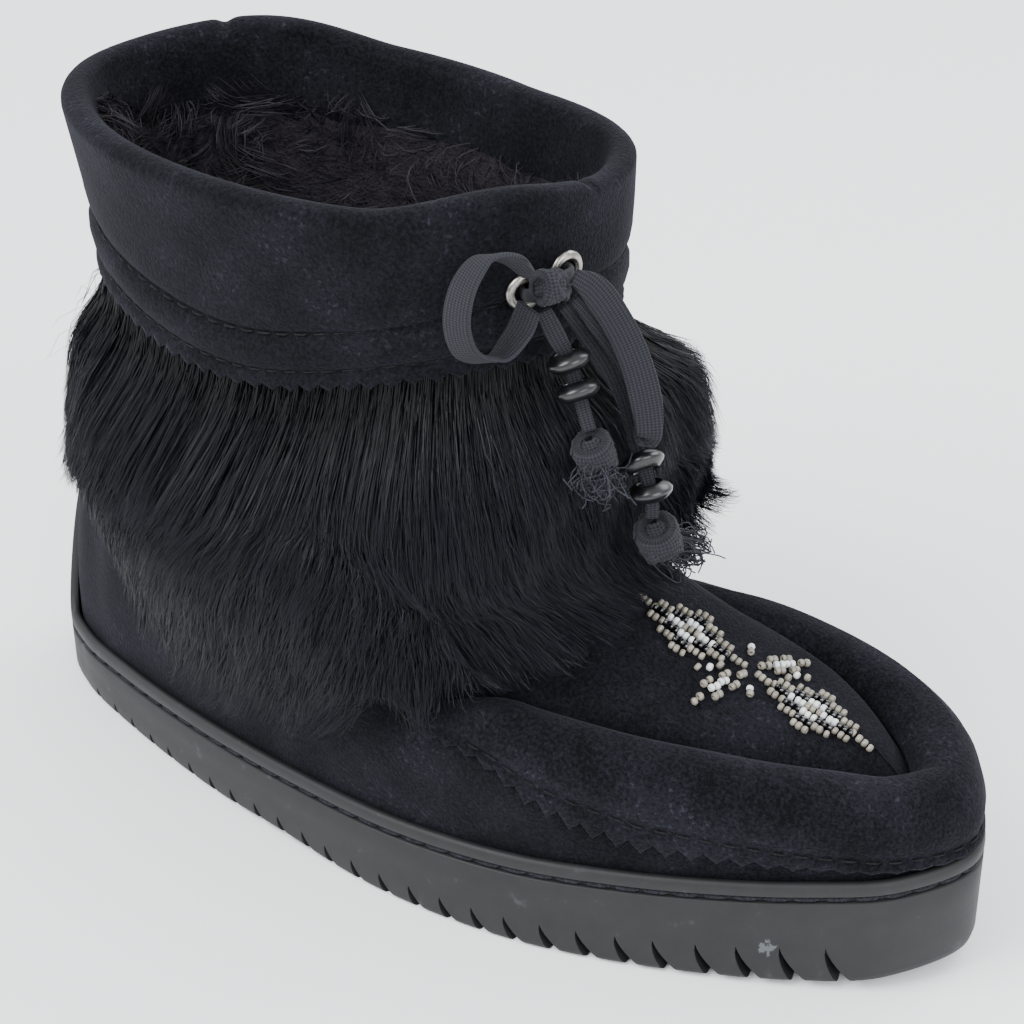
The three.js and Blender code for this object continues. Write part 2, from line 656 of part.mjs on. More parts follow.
function furBody() {
  const parts = FUR_LIFTS.map((_, k) => k / (FUR_LIFTS.length - 1));
  const outer = parts.map((part) => legColumns.map((_, col) => {
    const row = furRow(col, part);
    return skin(shoe, row, col, furClear(col, row) + furLift(col, part));
  }));
  const inner = parts.map((part) => legColumns.map((_, col) => {
    const row = furRow(col, part);
    return skin(shoe, row, col, furClear(col, row));
  }));
  const locks = [];
  for (let col = 0; col < COLUMNS; col += 1) {
    const edge = furClear(col, furRow(col, 1));
    locks.push(furLock(col, 0.93, LOCK_LENGTH - 3 * (col % 3), edge + 0.65 * furLift(col, 0.93)));
    if (col % 2 === 0) {
      const part = 0.5 + 0.1 * (col % 3);
      locks.push(furLock(col, part, LOCK_LENGTH + 3, furClear(col, furRow(col, part)) + furLift(col, part) - 0.5));
    }
  }
  return geometryOf(joined([solid(shell(outer, inner, true)), ...locks]));
}

// Height and facing of the upper's outside straight over a point of the plan
const plugMesh = new THREE.Mesh(shell(shoe.points, shoe.points.map((row) => row.map((p) => p.clone().setZ(0))), true));
plugMesh.geometry.computeBoundingSphere();

function plugAt(x, y) {
  const down = new THREE.Raycaster(new THREE.Vector3(x, y, 400), new THREE.Vector3(0, 0, -1));
  const hits = down.intersectObject(plugMesh);
  return hits[0].point;
}

// A thin pad over the plug for each petal of beads
function petalBody({ x, y, along, across, turn }) {
  const angle = THREE.MathUtils.degToRad(turn);
  const corners = [[1, 0], [0.5, 0.6], [0, 1], [-0.5, 0.6], [-1, 0], [-0.5, -0.6], [0, -1], [0.5, -0.6]];
  const spots = corners.map(([a, b]) => [
    x + a * along * Math.cos(angle) - b * across * Math.sin(angle),
    y + a * along * Math.sin(angle) + b * across * Math.cos(angle),
  ]);
  const ring = (scale, lift) => spots.map(([px, py]) => {
    const at = plugAt(mix(x, px, scale), mix(y, py, scale));
    return at.setZ(at.z + lift);
  });
  return capped([ring(1, 0.7), ring(1, PAD_THICKNESS), ring(0.86, PAD_THICKNESS + 0.7)]);
}

// Frame of the collar's outer face at an eyelet: its middle and outward direction
const collar = cuffBody();
const collarMesh = new THREE.Mesh(collar, new THREE.MeshBasicMaterial({ side: THREE.DoubleSide }));

function collarAt({ x, y, z }) {
  const out = new THREE.Vector3(x - SHAFT[4].x, (y - SHAFT[4].y) * (SHAFT[4].front / SHAFT[4].side) ** 2, 0).normalize();
  const from = new THREE.Vector3(x, y, z).addScaledVector(out, 20);
  const [hit] = new THREE.Raycaster(from, out.clone().negate()).intersectObject(collarMesh);
  return { middle: hit.point, out };
}

function place(geometry, { middle, out }) {
  const turn = new THREE.Quaternion().setFromUnitVectors(new THREE.Vector3(0, 1, 0), out);
  return geometry.applyQuaternion(turn).translate(middle.x, middle.y, middle.z);
}

function eyeletBody(spot) {
  const { outer, hole, barrel, seat, flange, depth } = EYELET;
  const profile = [
    [hole, -depth], [barrel, -depth], [barrel, seat], [outer, seat],
    [outer, 0.6 * flange], [0.5 * (outer + hole), flange + seat], [hole, 0.6 * flange], [hole, -depth],
  ].map(([r, y]) => new THREE.Vector2(r, y));
  return place(new THREE.LatheGeometry(profile, EYELET_SEGMENTS), collarAt(spot));
}

function eyeletHole(spot) {
  const radius = EYELET.barrel + FIT_GAP;
  return solid(place(new THREE.CylinderGeometry(radius, radius, 12, EYELET_SEGMENTS), collarAt(spot)));
}

// A flat band along a curve; sideways gives the direction of its width from the tangent
function ribbonBody(path, steps, sideways) {
  const curve = new THREE.CatmullRomCurve3(path.map((p) => new THREE.Vector3(p.x, p.y, p.z)), false, 'centripetal');
  const rings = Array.from({ length: steps + 1 }, (_, k) => {
    const t = curve.getUtoTmapping(k / steps);
    const spot = t * (path.length - 1);
    const low = Math.min(Math.floor(spot), path.length - 2);
    const half = 0.5 * LACE.width * mix(path[low].part, path[low + 1].part, spot - low);
    const thick = 0.5 * LACE.thickness;
    const tangent = curve.getTangent(t);
    const wide = sideways(tangent).normalize();
    const face = new THREE.Vector3().crossVectors(wide, tangent).normalize();
    const edge = half - LACE.rim;
    const section = [
      [half, -0.4 * thick], [half, 0.4 * thick], [edge, thick], [-edge, thick],
      [-half, 0.4 * thick], [-half, -0.4 * thick], [-edge, -thick], [edge, -thick],
    ];
    const centre = curve.getPoint(t);
    return section.map(([across, off]) => centre.clone().addScaledVector(wide, across).addScaledVector(face, off));
  });
  return capped(rings);
}

const lyingFlat = (tangent) => new THREE.Vector3().crossVectors(tangent, LACE_FACING);
const roundTheLoop = (tangent) => LOOP_AXIS.clone().addScaledVector(tangent, -LOOP_AXIS.dot(tangent));

// The lace's way from one eyelet to the other, out of both holes and across the collar between them
function laceBar() {
  const [inner, outer] = EYELETS.map(collarAt);
  const off = ({ middle, out }, distance) => middle.clone().addScaledVector(out, distance);
  const middle = off(inner, 3.4).add(off(outer, 3.4)).multiplyScalar(0.5)
    .addScaledVector(inner.out.clone().add(outer.out).normalize(), 0.6);
  const path = [off(inner, -1.6), off(inner, 2.2), middle, off(outer, 2.2), off(outer, -1.6)];
  const parts = [0.42, 0.42, 0.8, 0.42, 0.42];
  const up = new THREE.Vector3(0, 0, 1);
  const rows = path.map((point, k) => ({ x: point.x, y: point.y, z: point.z, part: parts[k] }));
  return ribbonBody(rows, 12, (tangent) => up.clone().addScaledVector(tangent, -tangent.z));
}

// A knot pulled tight: a rounded lump, wider than it is long
function knotBody({ x, y, z, along, across }) {
  const profile = [[0, -1], [0.6, -0.85], [1, -0.35], [0.9, 0.35], [0.55, 0.85], [0, 1]]
    .map(([r, h]) => new THREE.Vector2(r * across, h * along));
  return place(new THREE.LatheGeometry(profile, 8), { middle: new THREE.Vector3(x, y, z), out: KNOT_AXIS });
}

// A lens of glass threaded on an end of the lace
function glassBeadBody({ path, part }) {
  const curve = new THREE.CatmullRomCurve3(path.map((p) => new THREE.Vector3(p.x, p.y, p.z)), false, 'centripetal');
  const { radius, hole, thickness } = GLASS_BEAD;
  const half = thickness / 2;
  const profile = [
    [hole, -half], [0.62 * radius, -0.86 * half], [radius, -0.2 * half], [radius, 0.2 * half],
    [0.62 * radius, 0.86 * half], [hole, half], [hole, -half],
  ].map(([r, h]) => new THREE.Vector2(r, h));
  return place(new THREE.LatheGeometry(profile, 10), { middle: curve.getPointAt(part), out: curve.getTangentAt(part) });
}

addPiece('outsole', outsoleBody(), 'rubber');
addPiece('insole', insoleBody(), 'felt');
addPiece('upper', upperBody(), 'suede');
addPiece('apron_band', bandBody(), 'suede');
addPiece('collar_cuff', geometryOf(solid(collar).subtract(joined(EYELETS.map(eyeletHole)))), 'suede');
addPiece('fur_cuff', furBody(), 'fur');
PETALS.forEach((petal) => addPiece(petal.name, petalBody(petal), 'beads'));
EYELETS.forEach((spot) => addPiece(spot.name, eyeletBody(spot), 'metal'));
addPiece('lace_bar', laceBar(), 'cotton');
RIBBONS.forEach(({ name, path, steps, standing }) => {
  addPiece(name, ribbonBody(path, steps, standing ? roundTheLoop : lyingFlat), 'cotton');
});
KNOTS.forEach((knot) => addPiece(knot.name, knotBody(knot), 'cotton'));
GLASS_BEADS.forEach((bead) => addPiece(bead.name, glassBeadBody(bead), 'glass'));

export default boot;
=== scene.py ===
"""Ankle-high mukluk boot: the looks of every piece, built over its CAD frame.

Sizes are in millimetres of the boot, with x from the back of the heel to the toe, y to the inner
side of the foot and z up. place() turns them into metres of the shared frame.
"""

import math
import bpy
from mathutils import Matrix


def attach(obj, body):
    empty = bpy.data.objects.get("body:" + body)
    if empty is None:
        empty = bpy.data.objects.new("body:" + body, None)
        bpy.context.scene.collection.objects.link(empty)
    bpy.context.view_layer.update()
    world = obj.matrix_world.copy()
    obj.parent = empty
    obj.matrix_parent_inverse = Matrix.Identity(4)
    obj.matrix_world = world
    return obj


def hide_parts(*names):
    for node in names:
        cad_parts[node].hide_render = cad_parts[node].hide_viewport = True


bl_info = {
    "name": "Mukluk boot",
    "version": (1, 0, 0),
    "blender": (4, 5, 0),
    "location": "View3D > Sidebar > Mukluk",
    "description": "Builds a fur-cuffed mukluk boot over its CAD frame, piece by piece",
    "category": "Object",
}

from itertools import product

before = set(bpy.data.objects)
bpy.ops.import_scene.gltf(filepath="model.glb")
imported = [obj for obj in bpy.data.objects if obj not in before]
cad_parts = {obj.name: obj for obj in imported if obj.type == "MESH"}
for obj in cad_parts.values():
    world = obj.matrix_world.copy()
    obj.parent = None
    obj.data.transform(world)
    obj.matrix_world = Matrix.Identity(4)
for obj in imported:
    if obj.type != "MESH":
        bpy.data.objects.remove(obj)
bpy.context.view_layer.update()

import bpy
import numpy as np
from bpy.props import FloatProperty, FloatVectorProperty, IntProperty, PointerProperty
from mathutils import Matrix, Vector
from mathutils.bvhtree import BVHTree
from mathutils.kdtree import KDTree

MM = 0.001

# ---- The last, as in the part's own source ----
SOLE_LENGTH = 272.5
HEEL_CENTRE = 32.0
ANKLE = (97.0, -0.5)
STATIONS = [
    # x, outer side, inner side of the outline at the stitch groove
    (5, -19, 17),
    (18, -28, 28),
    (40, -35.5, 33),
    (75, -44, 31),
    (110, -49.5, 28),
    (145, -52.3, 31.5),
    (178, -49.2, 40.5),
    (204, -41.8, 45.5),
    (225, -33.6, 45),
    (245, -23.8, 39.8),
    (262, -12.5, 28),
]
HEEL_POINT = (0.0, 0.0)
TOE_POINT = (SOLE_LENGTH, 7.0)
GROOVE_HEEL, GROOVE_TOE = 13.6, 26.2
LIP_ABOVE_GROOVE, LIP_THICKNESS = 4.4, 2.6
FLOOR_HEEL, FLOOR_TOE = 7.5, 14.0
TOE_SPRING, SPRING_START = 3.3, 165.0
HEEL_LIFT, HEEL_LIFT_END = 1.5, 25.0
ARCH_RISE, ARCH_CENTRE, ARCH_HALF = 1.0, 105.0, 28.0
TAB_RISE, TAB_HALF = 38.0, 25.0
LUG_FIRST, LUG_LAST, LUG_PITCH, LUG_WIDTH, LUG_DEPTH = 27.0, 254.0, 9.08, 2.4, 2.0
WALL, FIT_GAP, SEAT_GAP, INSOLE_THICKNESS = 2.4, 0.3, 0.6, 2.6
FRONT_START, FRONT_FULL = 130.0, 174.0
CREST_TOE, CREST_SLOPE, THROAT_HEIGHT = 47.2, 0.1, 100.0
# run and rise of the vamp from the plug's edge to the throat
VAMP = [(0.14, 0.2), (0.38, 0.305), (0.62, 0.43), (0.82, 0.56), (0.94, 0.75), (1, 1)]
# inset from the outline and drop under the crest of the moccasin roll
ROLL = [(2.3, 12), (4.4, 4.6), (9, 0), (13.6, 2.6), (16.4, 7)]
# z, x, y, front and side half-axes of the shaft
SHAFT = [
    (100, 95.5, -1, 68.5, 42),
    (116, 95.5, -1, 67.2, 41),
    (130, 95.5, -1, 66.8, 41),
    (146, 96, -0.7, 68, 42.8),
    (162, 95.5, -0.4, 70, 45),
    (176.7, 94.5, -0.4, 71, 47.1),
]
RIM_FALL = 0.038
SWELL, SWELL_LEG, SWELL_HALF, SWELL_FROM, SWELL_FULL = 7.0, 0.5, 0.55, 92.0, 124.0
# angle round the leg, half width and size of the rim's rises
RIM_RISES = [(-0.3, 0.5, 4.8), (2.5, 0.65, 3.7)]
RIM_RISE_FROM = 132.0
LAST_ROW = 17
CUFF_FOLD = 22.0
CUFF_EDGE_SIDE, CUFF_EDGE_FRONT, CUFF_EDGE_BACK = 128.8, 12.0, 8.0
BAND_EDGE = [
    # x of the outline, row of the band's lower edge
    (146, 3.8), (156, 3.3), (168, 2.66), (181, 2.03), (194, 1.75), (208, 1.58), (240, 1.6), (272.5, 1.8),
]
BAND_START, BAND_GAP = 148.0, 0.7
FUR_EDGE = [
    # x of the outline, row of the fur's lower edge
    (0, 7.2), (10, 8.2), (20, 8.8), (32, 9), (46, 7.6), (60, 5.2), (78, 4.3), (100, 4.1), (118, 4.5),
    (136, 5.4), (156, 6.7), (175, 8.1), (194, 8.7), (210, 9.2), (228, 9.6), (250, 10.1), (272.5, 10.2),
]
# lift of the fur's outside, evenly from the cuff's edge down to the fur's own
FUR_LIFTS = [9, 18, 21, 18, 12, 7.5]
# size, angle round the leg and half width: the parts of the lift by which the fur is flatter and fuller
FUR_FLAT, FUR_FULL = (0.6, -2.9, 1.3), (0.5, 0.52, 0.48)
# the same in millimetres: what it gains low down, and under the cuff at the heel
FUR_FLARE, FUR_HEEL = (10.5, 0.36, 0.5), (6.0, -2.5, 0.75)

# ---- The photograph's camera ----
CAMERA_PLACE = (425.7, -401.1, 379.6)
CAMERA_AZIMUTH, CAMERA_ELEVATION, CAMERA_ROLL = 35.8, 30.7, -1.0
CAMERA_LENS, SENSOR = 81.4, 36.0
CAMERA_SHIFT = (0.0302, -0.0083)


def clamp(value, low, high):
    return np.minimum(high, np.maximum(low, value))


def mix(a, b, t):
    return a + (b - a) * t


def smooth(value, low, high):
    """0 under low and 1 over high, with an eased rise between."""
    t = clamp((value - low) / (high - low), 0.0, 1.0)
    return t * t * (3 - 2 * t)


def bump_of(distance, half):
    """1 in the middle of a rise and 0 beyond its half width."""
    return smooth(half - np.abs(distance), 0, half)


def unit(vectors):
    """The vectors along the last axis, one unit long."""
    return vectors / np.maximum(np.linalg.norm(vectors, axis=-1, keepdims=True), 1e-9)


def run_along(path):
    """Length of a path from its start to each of its points."""
    return np.concatenate([[0], np.cumsum(np.linalg.norm(np.diff(path, axis=0), axis=1))])


def hermite(t, p1, p2, m1, m2):
    """The curve from p1 to p2 that leaves and meets them along m1 and m2."""
    return (
        (2 * t**3 - 3 * t**2 + 1) * p1 + (t**3 - 2 * t**2 + t) * m1
        + (3 * t**2 - 2 * t**3) * p2 + (t**3 - t**2) * m2
    )


def place(points):
    """Millimetres of the boot into metres of the frame."""
    return (np.asarray(points, float) - (HEEL_CENTRE, 0, 0)) * MM


# ---- The last's outline and the upper's own surface ----
def closed_curve(points, per_segment):
    """A closed centripetal Catmull-Rom line through the points."""
    points = np.asarray(points, float)
    count = len(points)
    out = []
    t = np.linspace(0, 1, per_segment, endpoint=False)[:, None]
    for i in range(count):
        p0, p1, p2, p3 = (points[(i + k) % count] for k in (-1, 0, 1, 2))
        d0, d1, d2 = (math.sqrt(np.linalg.norm(b - a)) for a, b in ((p0, p1), (p1, p2), (p2, p3)))
        m1 = ((p1 - p0) / d0 - (p2 - p0) / (d0 + d1) + (p2 - p1) / d1) * d1
        m2 = ((p2 - p1) / d1 - (p3 - p1) / (d1 + d2) + (p3 - p2) / d2) * d1
        out.append(hermite(t, p1, p2, m1, m2))
    return np.vstack(out)


CURVE_STEPS = 40


def open_curve(points, count):
    """An open centripetal Catmull-Rom line through the points, evenly spaced along its length."""
    points = np.asarray(points, float)
    ends = [2 * points[0] - points[1], *points, 2 * points[-1] - points[-2]]
    fine = closed_curve(ends, CURVE_STEPS)[CURVE_STEPS : CURVE_STEPS * len(points) + 1]
    length = run_along(fine)
    at = np.linspace(0, length[-1], count)
    return np.column_stack([np.interp(at, length, fine[:, k]) for k in range(fine.shape[1])])


OUTLINE = closed_curve(
    [HEEL_POINT, *[(x, o) for x, o, _ in STATIONS], TOE_POINT, *[(x, i) for x, _, i in STATIONS[::-1]]], 100
)
OUTLINE = np.vstack([OUTLINE, OUTLINE[:1]])
OUTLINE_RUN = run_along(OUTLINE)
OUTLINE_LENGTH = OUTLINE_RUN[-1]
# how much closer the columns stand at the heel and toe, and half the span over which a normal is measured
CROWDING, NORMAL_REACH = 0.3, 0.6


def crowded(turns):
    """Parts of the outline's length at parts of a turn: closer together at the heel and toe."""
    return turns - CROWDING * np.sin(4 * np.pi * turns) / (4 * np.pi)


class Columns:
    """Columns round the boot at parts of a turn, with the outline's points and outward normals."""

    def __init__(self, turns):
        self.turns = np.asarray(turns, float) % 1.0
        u = crowded(self.turns)
        run = u * OUTLINE_LENGTH
        at = [
            np.interp((run + d) % OUTLINE_LENGTH, OUTLINE_RUN, OUTLINE[:, k])
            for d in (-NORMAL_REACH, 0, NORMAL_REACH) for k in (0, 1)
        ]
        self.x, self.y = at[2], at[3]
        along = np.stack([at[4] - at[0], at[5] - at[1]])
        along /= np.linalg.norm(along, axis=0)
        self.nx, self.ny = along[1], -along[0]
        self.from_heel = np.minimum(u, 1 - u) * OUTLINE_LENGTH
        self.leg = np.arctan2(self.y - ANKLE[1], self.x - ANKLE[0])

    def inset(self, distance, height):
        """Points a distance inside the outline, at a height."""
        z = np.broadcast_to(height, self.x.shape)
        return np.stack([self.x - self.nx * distance, self.y - self.ny * distance, z], axis=-1)


def arch(x):
    """Rise of the tread under the arch."""
    return ARCH_RISE * bump_of(x - ARCH_CENTRE, ARCH_HALF)


def tread(x):
    """Height of the sole's underside over the ground."""
    toe = TOE_SPRING * clamp((x - SPRING_START) / (SOLE_LENGTH - SPRING_START), 0, 1) ** 2
    heel = HEEL_LIFT * clamp((HEEL_LIFT_END - x) / HEEL_LIFT_END, 0, 1) ** 2
    return toe + heel + arch(x)


def groove_height(c):
    """Height of the stitch groove's middle, with the tab that climbs the heel."""
    base = mix(GROOVE_HEEL, GROOVE_TOE, c.x / SOLE_LENGTH) + tread(c.x) - arch(c.x)
    return base + TAB_RISE * bump_of(c.from_heel, TAB_HALF)


def floor_height(x):
    """Height of the footbed's floor inside the cup."""
    return mix(FLOOR_HEEL, FLOOR_TOE, x / SOLE_LENGTH)


def shaft_points(c, section):
    """The shaft's outer face at one section, over the columns."""
    z, cx, cy, front, side = section
    even = 1 / np.hypot(np.cos(c.leg) / front, np.sin(c.leg) / side)
    reach = even + SWELL * bump_of(c.leg - SWELL_LEG, SWELL_HALF) * smooth(z, SWELL_FROM, SWELL_FULL)
    x, y = cx + np.cos(c.leg) * reach, cy + np.sin(c.leg) * reach
    fall = RIM_FALL * (x - cx) * smooth(z, THROAT_HEIGHT, SHAFT[-1][0])
    rises = sum(size * bump_of(c.leg - leg, half) for leg, half, size in RIM_RISES)
    return np.stack([x, y, z - fall + rises * smooth(z, RIM_RISE_FROM, SHAFT[-1][0])], axis=-1)


def upper_rows(c):
    """The upper's outer face over the columns: rows from the feather edge (0) to the rim (17)."""
    front = smooth(c.x, FRONT_START, FRONT_FULL)[:, None]
    lip = groove_height(c) + LIP_ABOVE_GROOVE
    seat = LIP_THICKNESS + SEAT_GAP
    start = c.inset(seat, lip)
    throat = shaft_points(c, SHAFT[0])
    crest = CREST_TOE + CREST_SLOPE * (SOLE_LENGTH - c.x)
    edge = c.inset(ROLL[-1][0], crest - ROLL[-1][1])
    rows = [c.inset(seat, floor_height(c.x) + FIT_GAP), start]
    count = len(ROLL) + len(VAMP)
    for k in range(1, count + 1):
        part = k / count
        rear = mix(start, throat, part**2)
        rear[:, 2] = mix(start[:, 2], throat[:, 2], part)
        if k <= len(ROLL):
            fore = c.inset(ROLL[k - 1][0], crest - ROLL[k - 1][1])
        else:
            run, rise = VAMP[k - 1 - len(ROLL)]
            fore = mix(edge, throat, run)
            fore[:, 2] = mix(edge[:, 2], throat[:, 2], rise)
        rows.append(mix(rear, fore, front))
    return np.stack(rows + [shaft_points(c, s) for s in SHAFT[1:]])


class Skin:
    """The upper's outer face as a dense grid, read at any row and turn and lifted off it."""

    def __init__(self, columns=480, per_row=10):
        coarse = upper_rows(Columns(np.arange(columns) / columns))
        rows = np.concatenate([[2 * coarse[0] - coarse[1]], coarse, [2 * coarse[-1] - coarse[-2]]])
        t = (np.arange(per_row) / per_row)[:, None, None]
        fine = []
        for r in range(1, LAST_ROW + 1):
            p0, p1, p2, p3 = rows[r - 1 : r + 3]
            m1, m2 = 0.5 * (p2 - p0), 0.5 * (p3 - p1)
            if r in (1, 2):
                m1, m2 = p2 - p1, p2 - p1
            fine.append(hermite(t, p1, p2, m1, m2))
        self.points = np.concatenate(fine + [coarse[-1:]])
        self.per_row, self.count = per_row, columns
        up = np.gradient(self.points, axis=0)
        around = np.roll(self.points, -1, axis=1) - np.roll(self.points, 1, axis=1)
        self.normals = unit(np.cross(around, up))

    def read(self, field, row, turn):
        r = clamp(np.asarray(row, float) * self.per_row, 0, LAST_ROW * self.per_row - 1e-6)
        c = (np.asarray(turn, float) % 1.0) * self.count
        r, c = np.broadcast_arrays(r, c)
        r0, c0 = r.astype(int), c.astype(int) % self.count
        c1 = (c0 + 1) % self.count
        fr, fc = (r - r0)[..., None], (c - np.floor(c))[..., None]
        low = mix(field[r0, c0], field[r0, c1], fc)
        high = mix(field[r0 + 1, c0], field[r0 + 1, c1], fc)
        return mix(low, high, fr)

    def normal(self, row, turn):
        return unit(self.read(self.normals, row, turn))

    def at(self, row, turn, lift=0.0):
        lift = np.asarray(lift, float)[..., None] if np.ndim(lift) else lift
        return self.read(self.points, row, turn) + self.normal(row, turn) * lift

    def row_at(self, turns, height):
        """The row at which each turn reaches a height, in the shaft."""
        rows = np.arange(6, LAST_ROW + 0.01, 0.1)
        out = []
        for turn, z in zip(np.atleast_1d(turns), np.broadcast_to(height, np.shape(np.atleast_1d(turns)))):
            heights = self.read(self.points, rows, np.full(len(rows), turn))[:, 2]
            out.append(np.interp(z, heights, rows))
        return np.array(out)


SKIN = Skin()
TURNS = np.arange(SKIN.count) / SKIN.count
ROUND = Columns(TURNS)


def periodic(table_turns, values, turns):
    """Values of a table that closes on itself, at parts of a turn."""
    return np.interp(np.asarray(turns) % 1.0, np.append(table_turns, 1.0), np.append(values, values[0]))


TURN_OF_LEG = np.cos(ROUND.leg)
CUFF_EDGE_ROW = SKIN.row_at(
    TURNS, CUFF_EDGE_SIDE + np.where(TURN_OF_LEG > 0, CUFF_EDGE_FRONT, CUFF_EDGE_BACK) * TURN_OF_LEG**2
)


def outline_x(turns):
    """x of the outline at parts of a turn."""
    return periodic(TURNS, ROUND.x, turns)


# ---- Meshes ----
def link(piece):
    """Puts an object in the scene."""
    bpy.context.scene.collection.objects.link(piece)
    return piece


def mesh_piece(name, points, faces, material, values=None, uv=None, rounded=True):
    """A mesh from points in millimetres of the boot and one array of faces or several."""
    vertices = place(points).reshape(-1, 3)
    groups = [np.asarray(f, np.int32) for f in (faces if isinstance(faces, list) else [faces])]
    mesh = bpy.data.meshes.new(name)
    mesh.vertices.add(len(vertices))
    mesh.vertices.foreach_set("co", vertices.astype(np.float32).ravel())
    loops = np.concatenate([g.ravel() for g in groups])
    sizes = np.concatenate([np.full(len(g), g.shape[1], np.int32) for g in groups])
    mesh.loops.add(len(loops))
    mesh.loops.foreach_set("vertex_index", loops)
    mesh.polygons.add(len(sizes))
    mesh.polygons.foreach_set("loop_start", np.concatenate([[0], np.cumsum(sizes)[:-1]]).astype(np.int32))
    mesh.polygons.foreach_set("use_smooth", np.full(len(sizes), rounded))
    if uv is not None:
        layer = mesh.uv_layers.new(name="lay")
        layer.data.foreach_set("uv", np.asarray(uv, np.float32).reshape(-1, 2)[loops].ravel())
    for key, value in (values or {}).items():
        field = mesh.attributes.new(key, "FLOAT", "POINT")
        field.data.foreach_set("value", np.asarray(value, np.float32).ravel())
    mesh.update(calc_edges=True)
    mesh.validate()
    mesh.materials.append(material)
    return link(bpy.data.objects.new(name, mesh))


def settle(piece, slot, *nodes):
    """The piece takes its nodes' place and moves with the boot."""
    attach(piece, "root")
    if nodes:
        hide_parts(*nodes)
    return piece


def quads(rows, columns, ring=True):
    """Faces of a grid of rows by columns, outwards where rows climb and columns run from heel to toe."""
    r, c = np.meshgrid(np.arange(rows - 1), np.arange(columns if ring else columns - 1), indexing="ij")
    n, low, high = (c + 1) % columns, r * columns, (r + 1) * columns
    return np.stack([low + c, low + n, high + n, high + c], -1).reshape(-1, 4)


def looped_quads(rows, columns, ring=True):
    """Faces of a grid whose last row joins its first."""
    i = np.arange(columns if ring else columns - 1)
    n, last = (i + 1) % columns, (rows - 1) * columns
    return np.vstack([quads(rows, columns, ring), np.stack([last + i, last + n, n, i], -1)])


def strip_caps(columns, start, flip=False):
    """Faces that close a ring of points from one side of the boot to the other."""
    i = np.arange(1, columns // 2 - 1)
    half = columns // 2
    faces = np.stack([i, i + 1, columns - i - 1, columns - i], -1) + start
    ends = np.array([[0, 1, columns - 1], [half, half + 1, half - 1]]) + start
    return [faces[:, ::-1], ends[:, ::-1]] if flip else [faces, ends]


def joined_meshes(parts):
    """One set of points and faces from several (points, faces) pairs of quads."""
    points, faces, base = [], [], 0
    for p, f in parts:
        points.append(np.asarray(p).reshape(-1, 3))
        faces.append(np.asarray(f) + base)
        base += len(points[-1])
    return np.vstack(points), np.vstack(faces)


def frames_along(path, reference):
    """Sideways and face directions at each point of a path."""
    tangent = unit(np.gradient(path, axis=0))
    side = unit(reference(tangent))
    return side, np.cross(side, tangent)


def tube(path, widths, thicknesses, reference, sides=12, power=0.5):
    """A tube of rounded flat section along a path: points, faces and (round, along) per point."""
    side, face = frames_along(path, reference)
    angle = np.arange(sides) * 2 * np.pi / sides
    across = np.sign(np.cos(angle)) * np.abs(np.cos(angle)) ** power
    off = np.sign(np.sin(angle)) * np.abs(np.sin(angle)) ** power
    widths = np.broadcast_to(widths, len(path))[:, None, None] / 2
    thicknesses = np.broadcast_to(thicknesses, len(path))[:, None, None] / 2
    rings = path[:, None] + side[:, None] * across[None, :, None] * widths
    rings = rings + face[:, None] * off[None, :, None] * thicknesses
    cap = np.arange(sides)[None]
    faces = [quads(len(path), sides)[:, ::-1], cap, ((len(path) - 1) * sides + cap)[:, ::-1]]
    uv = np.stack(np.broadcast_arrays(across[None, :] * widths[..., 0], run_along(path)[:, None]), -1)
    return rings, faces, uv


# ---- Finishes ----
class Value:
    """A shader socket that takes part in sums."""

    def __init__(self, finish, socket):
        self.finish, self.socket = finish, socket

    def math(self, operation, *others):
        return self.finish.node("ShaderNodeMath", {"operation": operation}, dict(enumerate([self, *others])))

    def __add__(self, other):
        return self.math("ADD", other)

    def __sub__(self, other):
        return self.math("SUBTRACT", other)

    def __rsub__(self, other):
        return self.finish.node("ShaderNodeMath", {"operation": "SUBTRACT"}, {0: other, 1: self})

    def __mul__(self, other):
        return self.math("MULTIPLY", other)

    def __pow__(self, other):
        return self.math("POWER", other)

    __radd__, __rmul__ = __add__, __mul__

    def sine(self):
        return self.math("SINE")

    def between(self, low, high):
        """0 under low and 1 over high, straight between."""
        inputs = {"Value": self, "From Min": low, "From Max": high}
        return self.finish.node("ShaderNodeMapRange", {"clamp": True}, inputs)


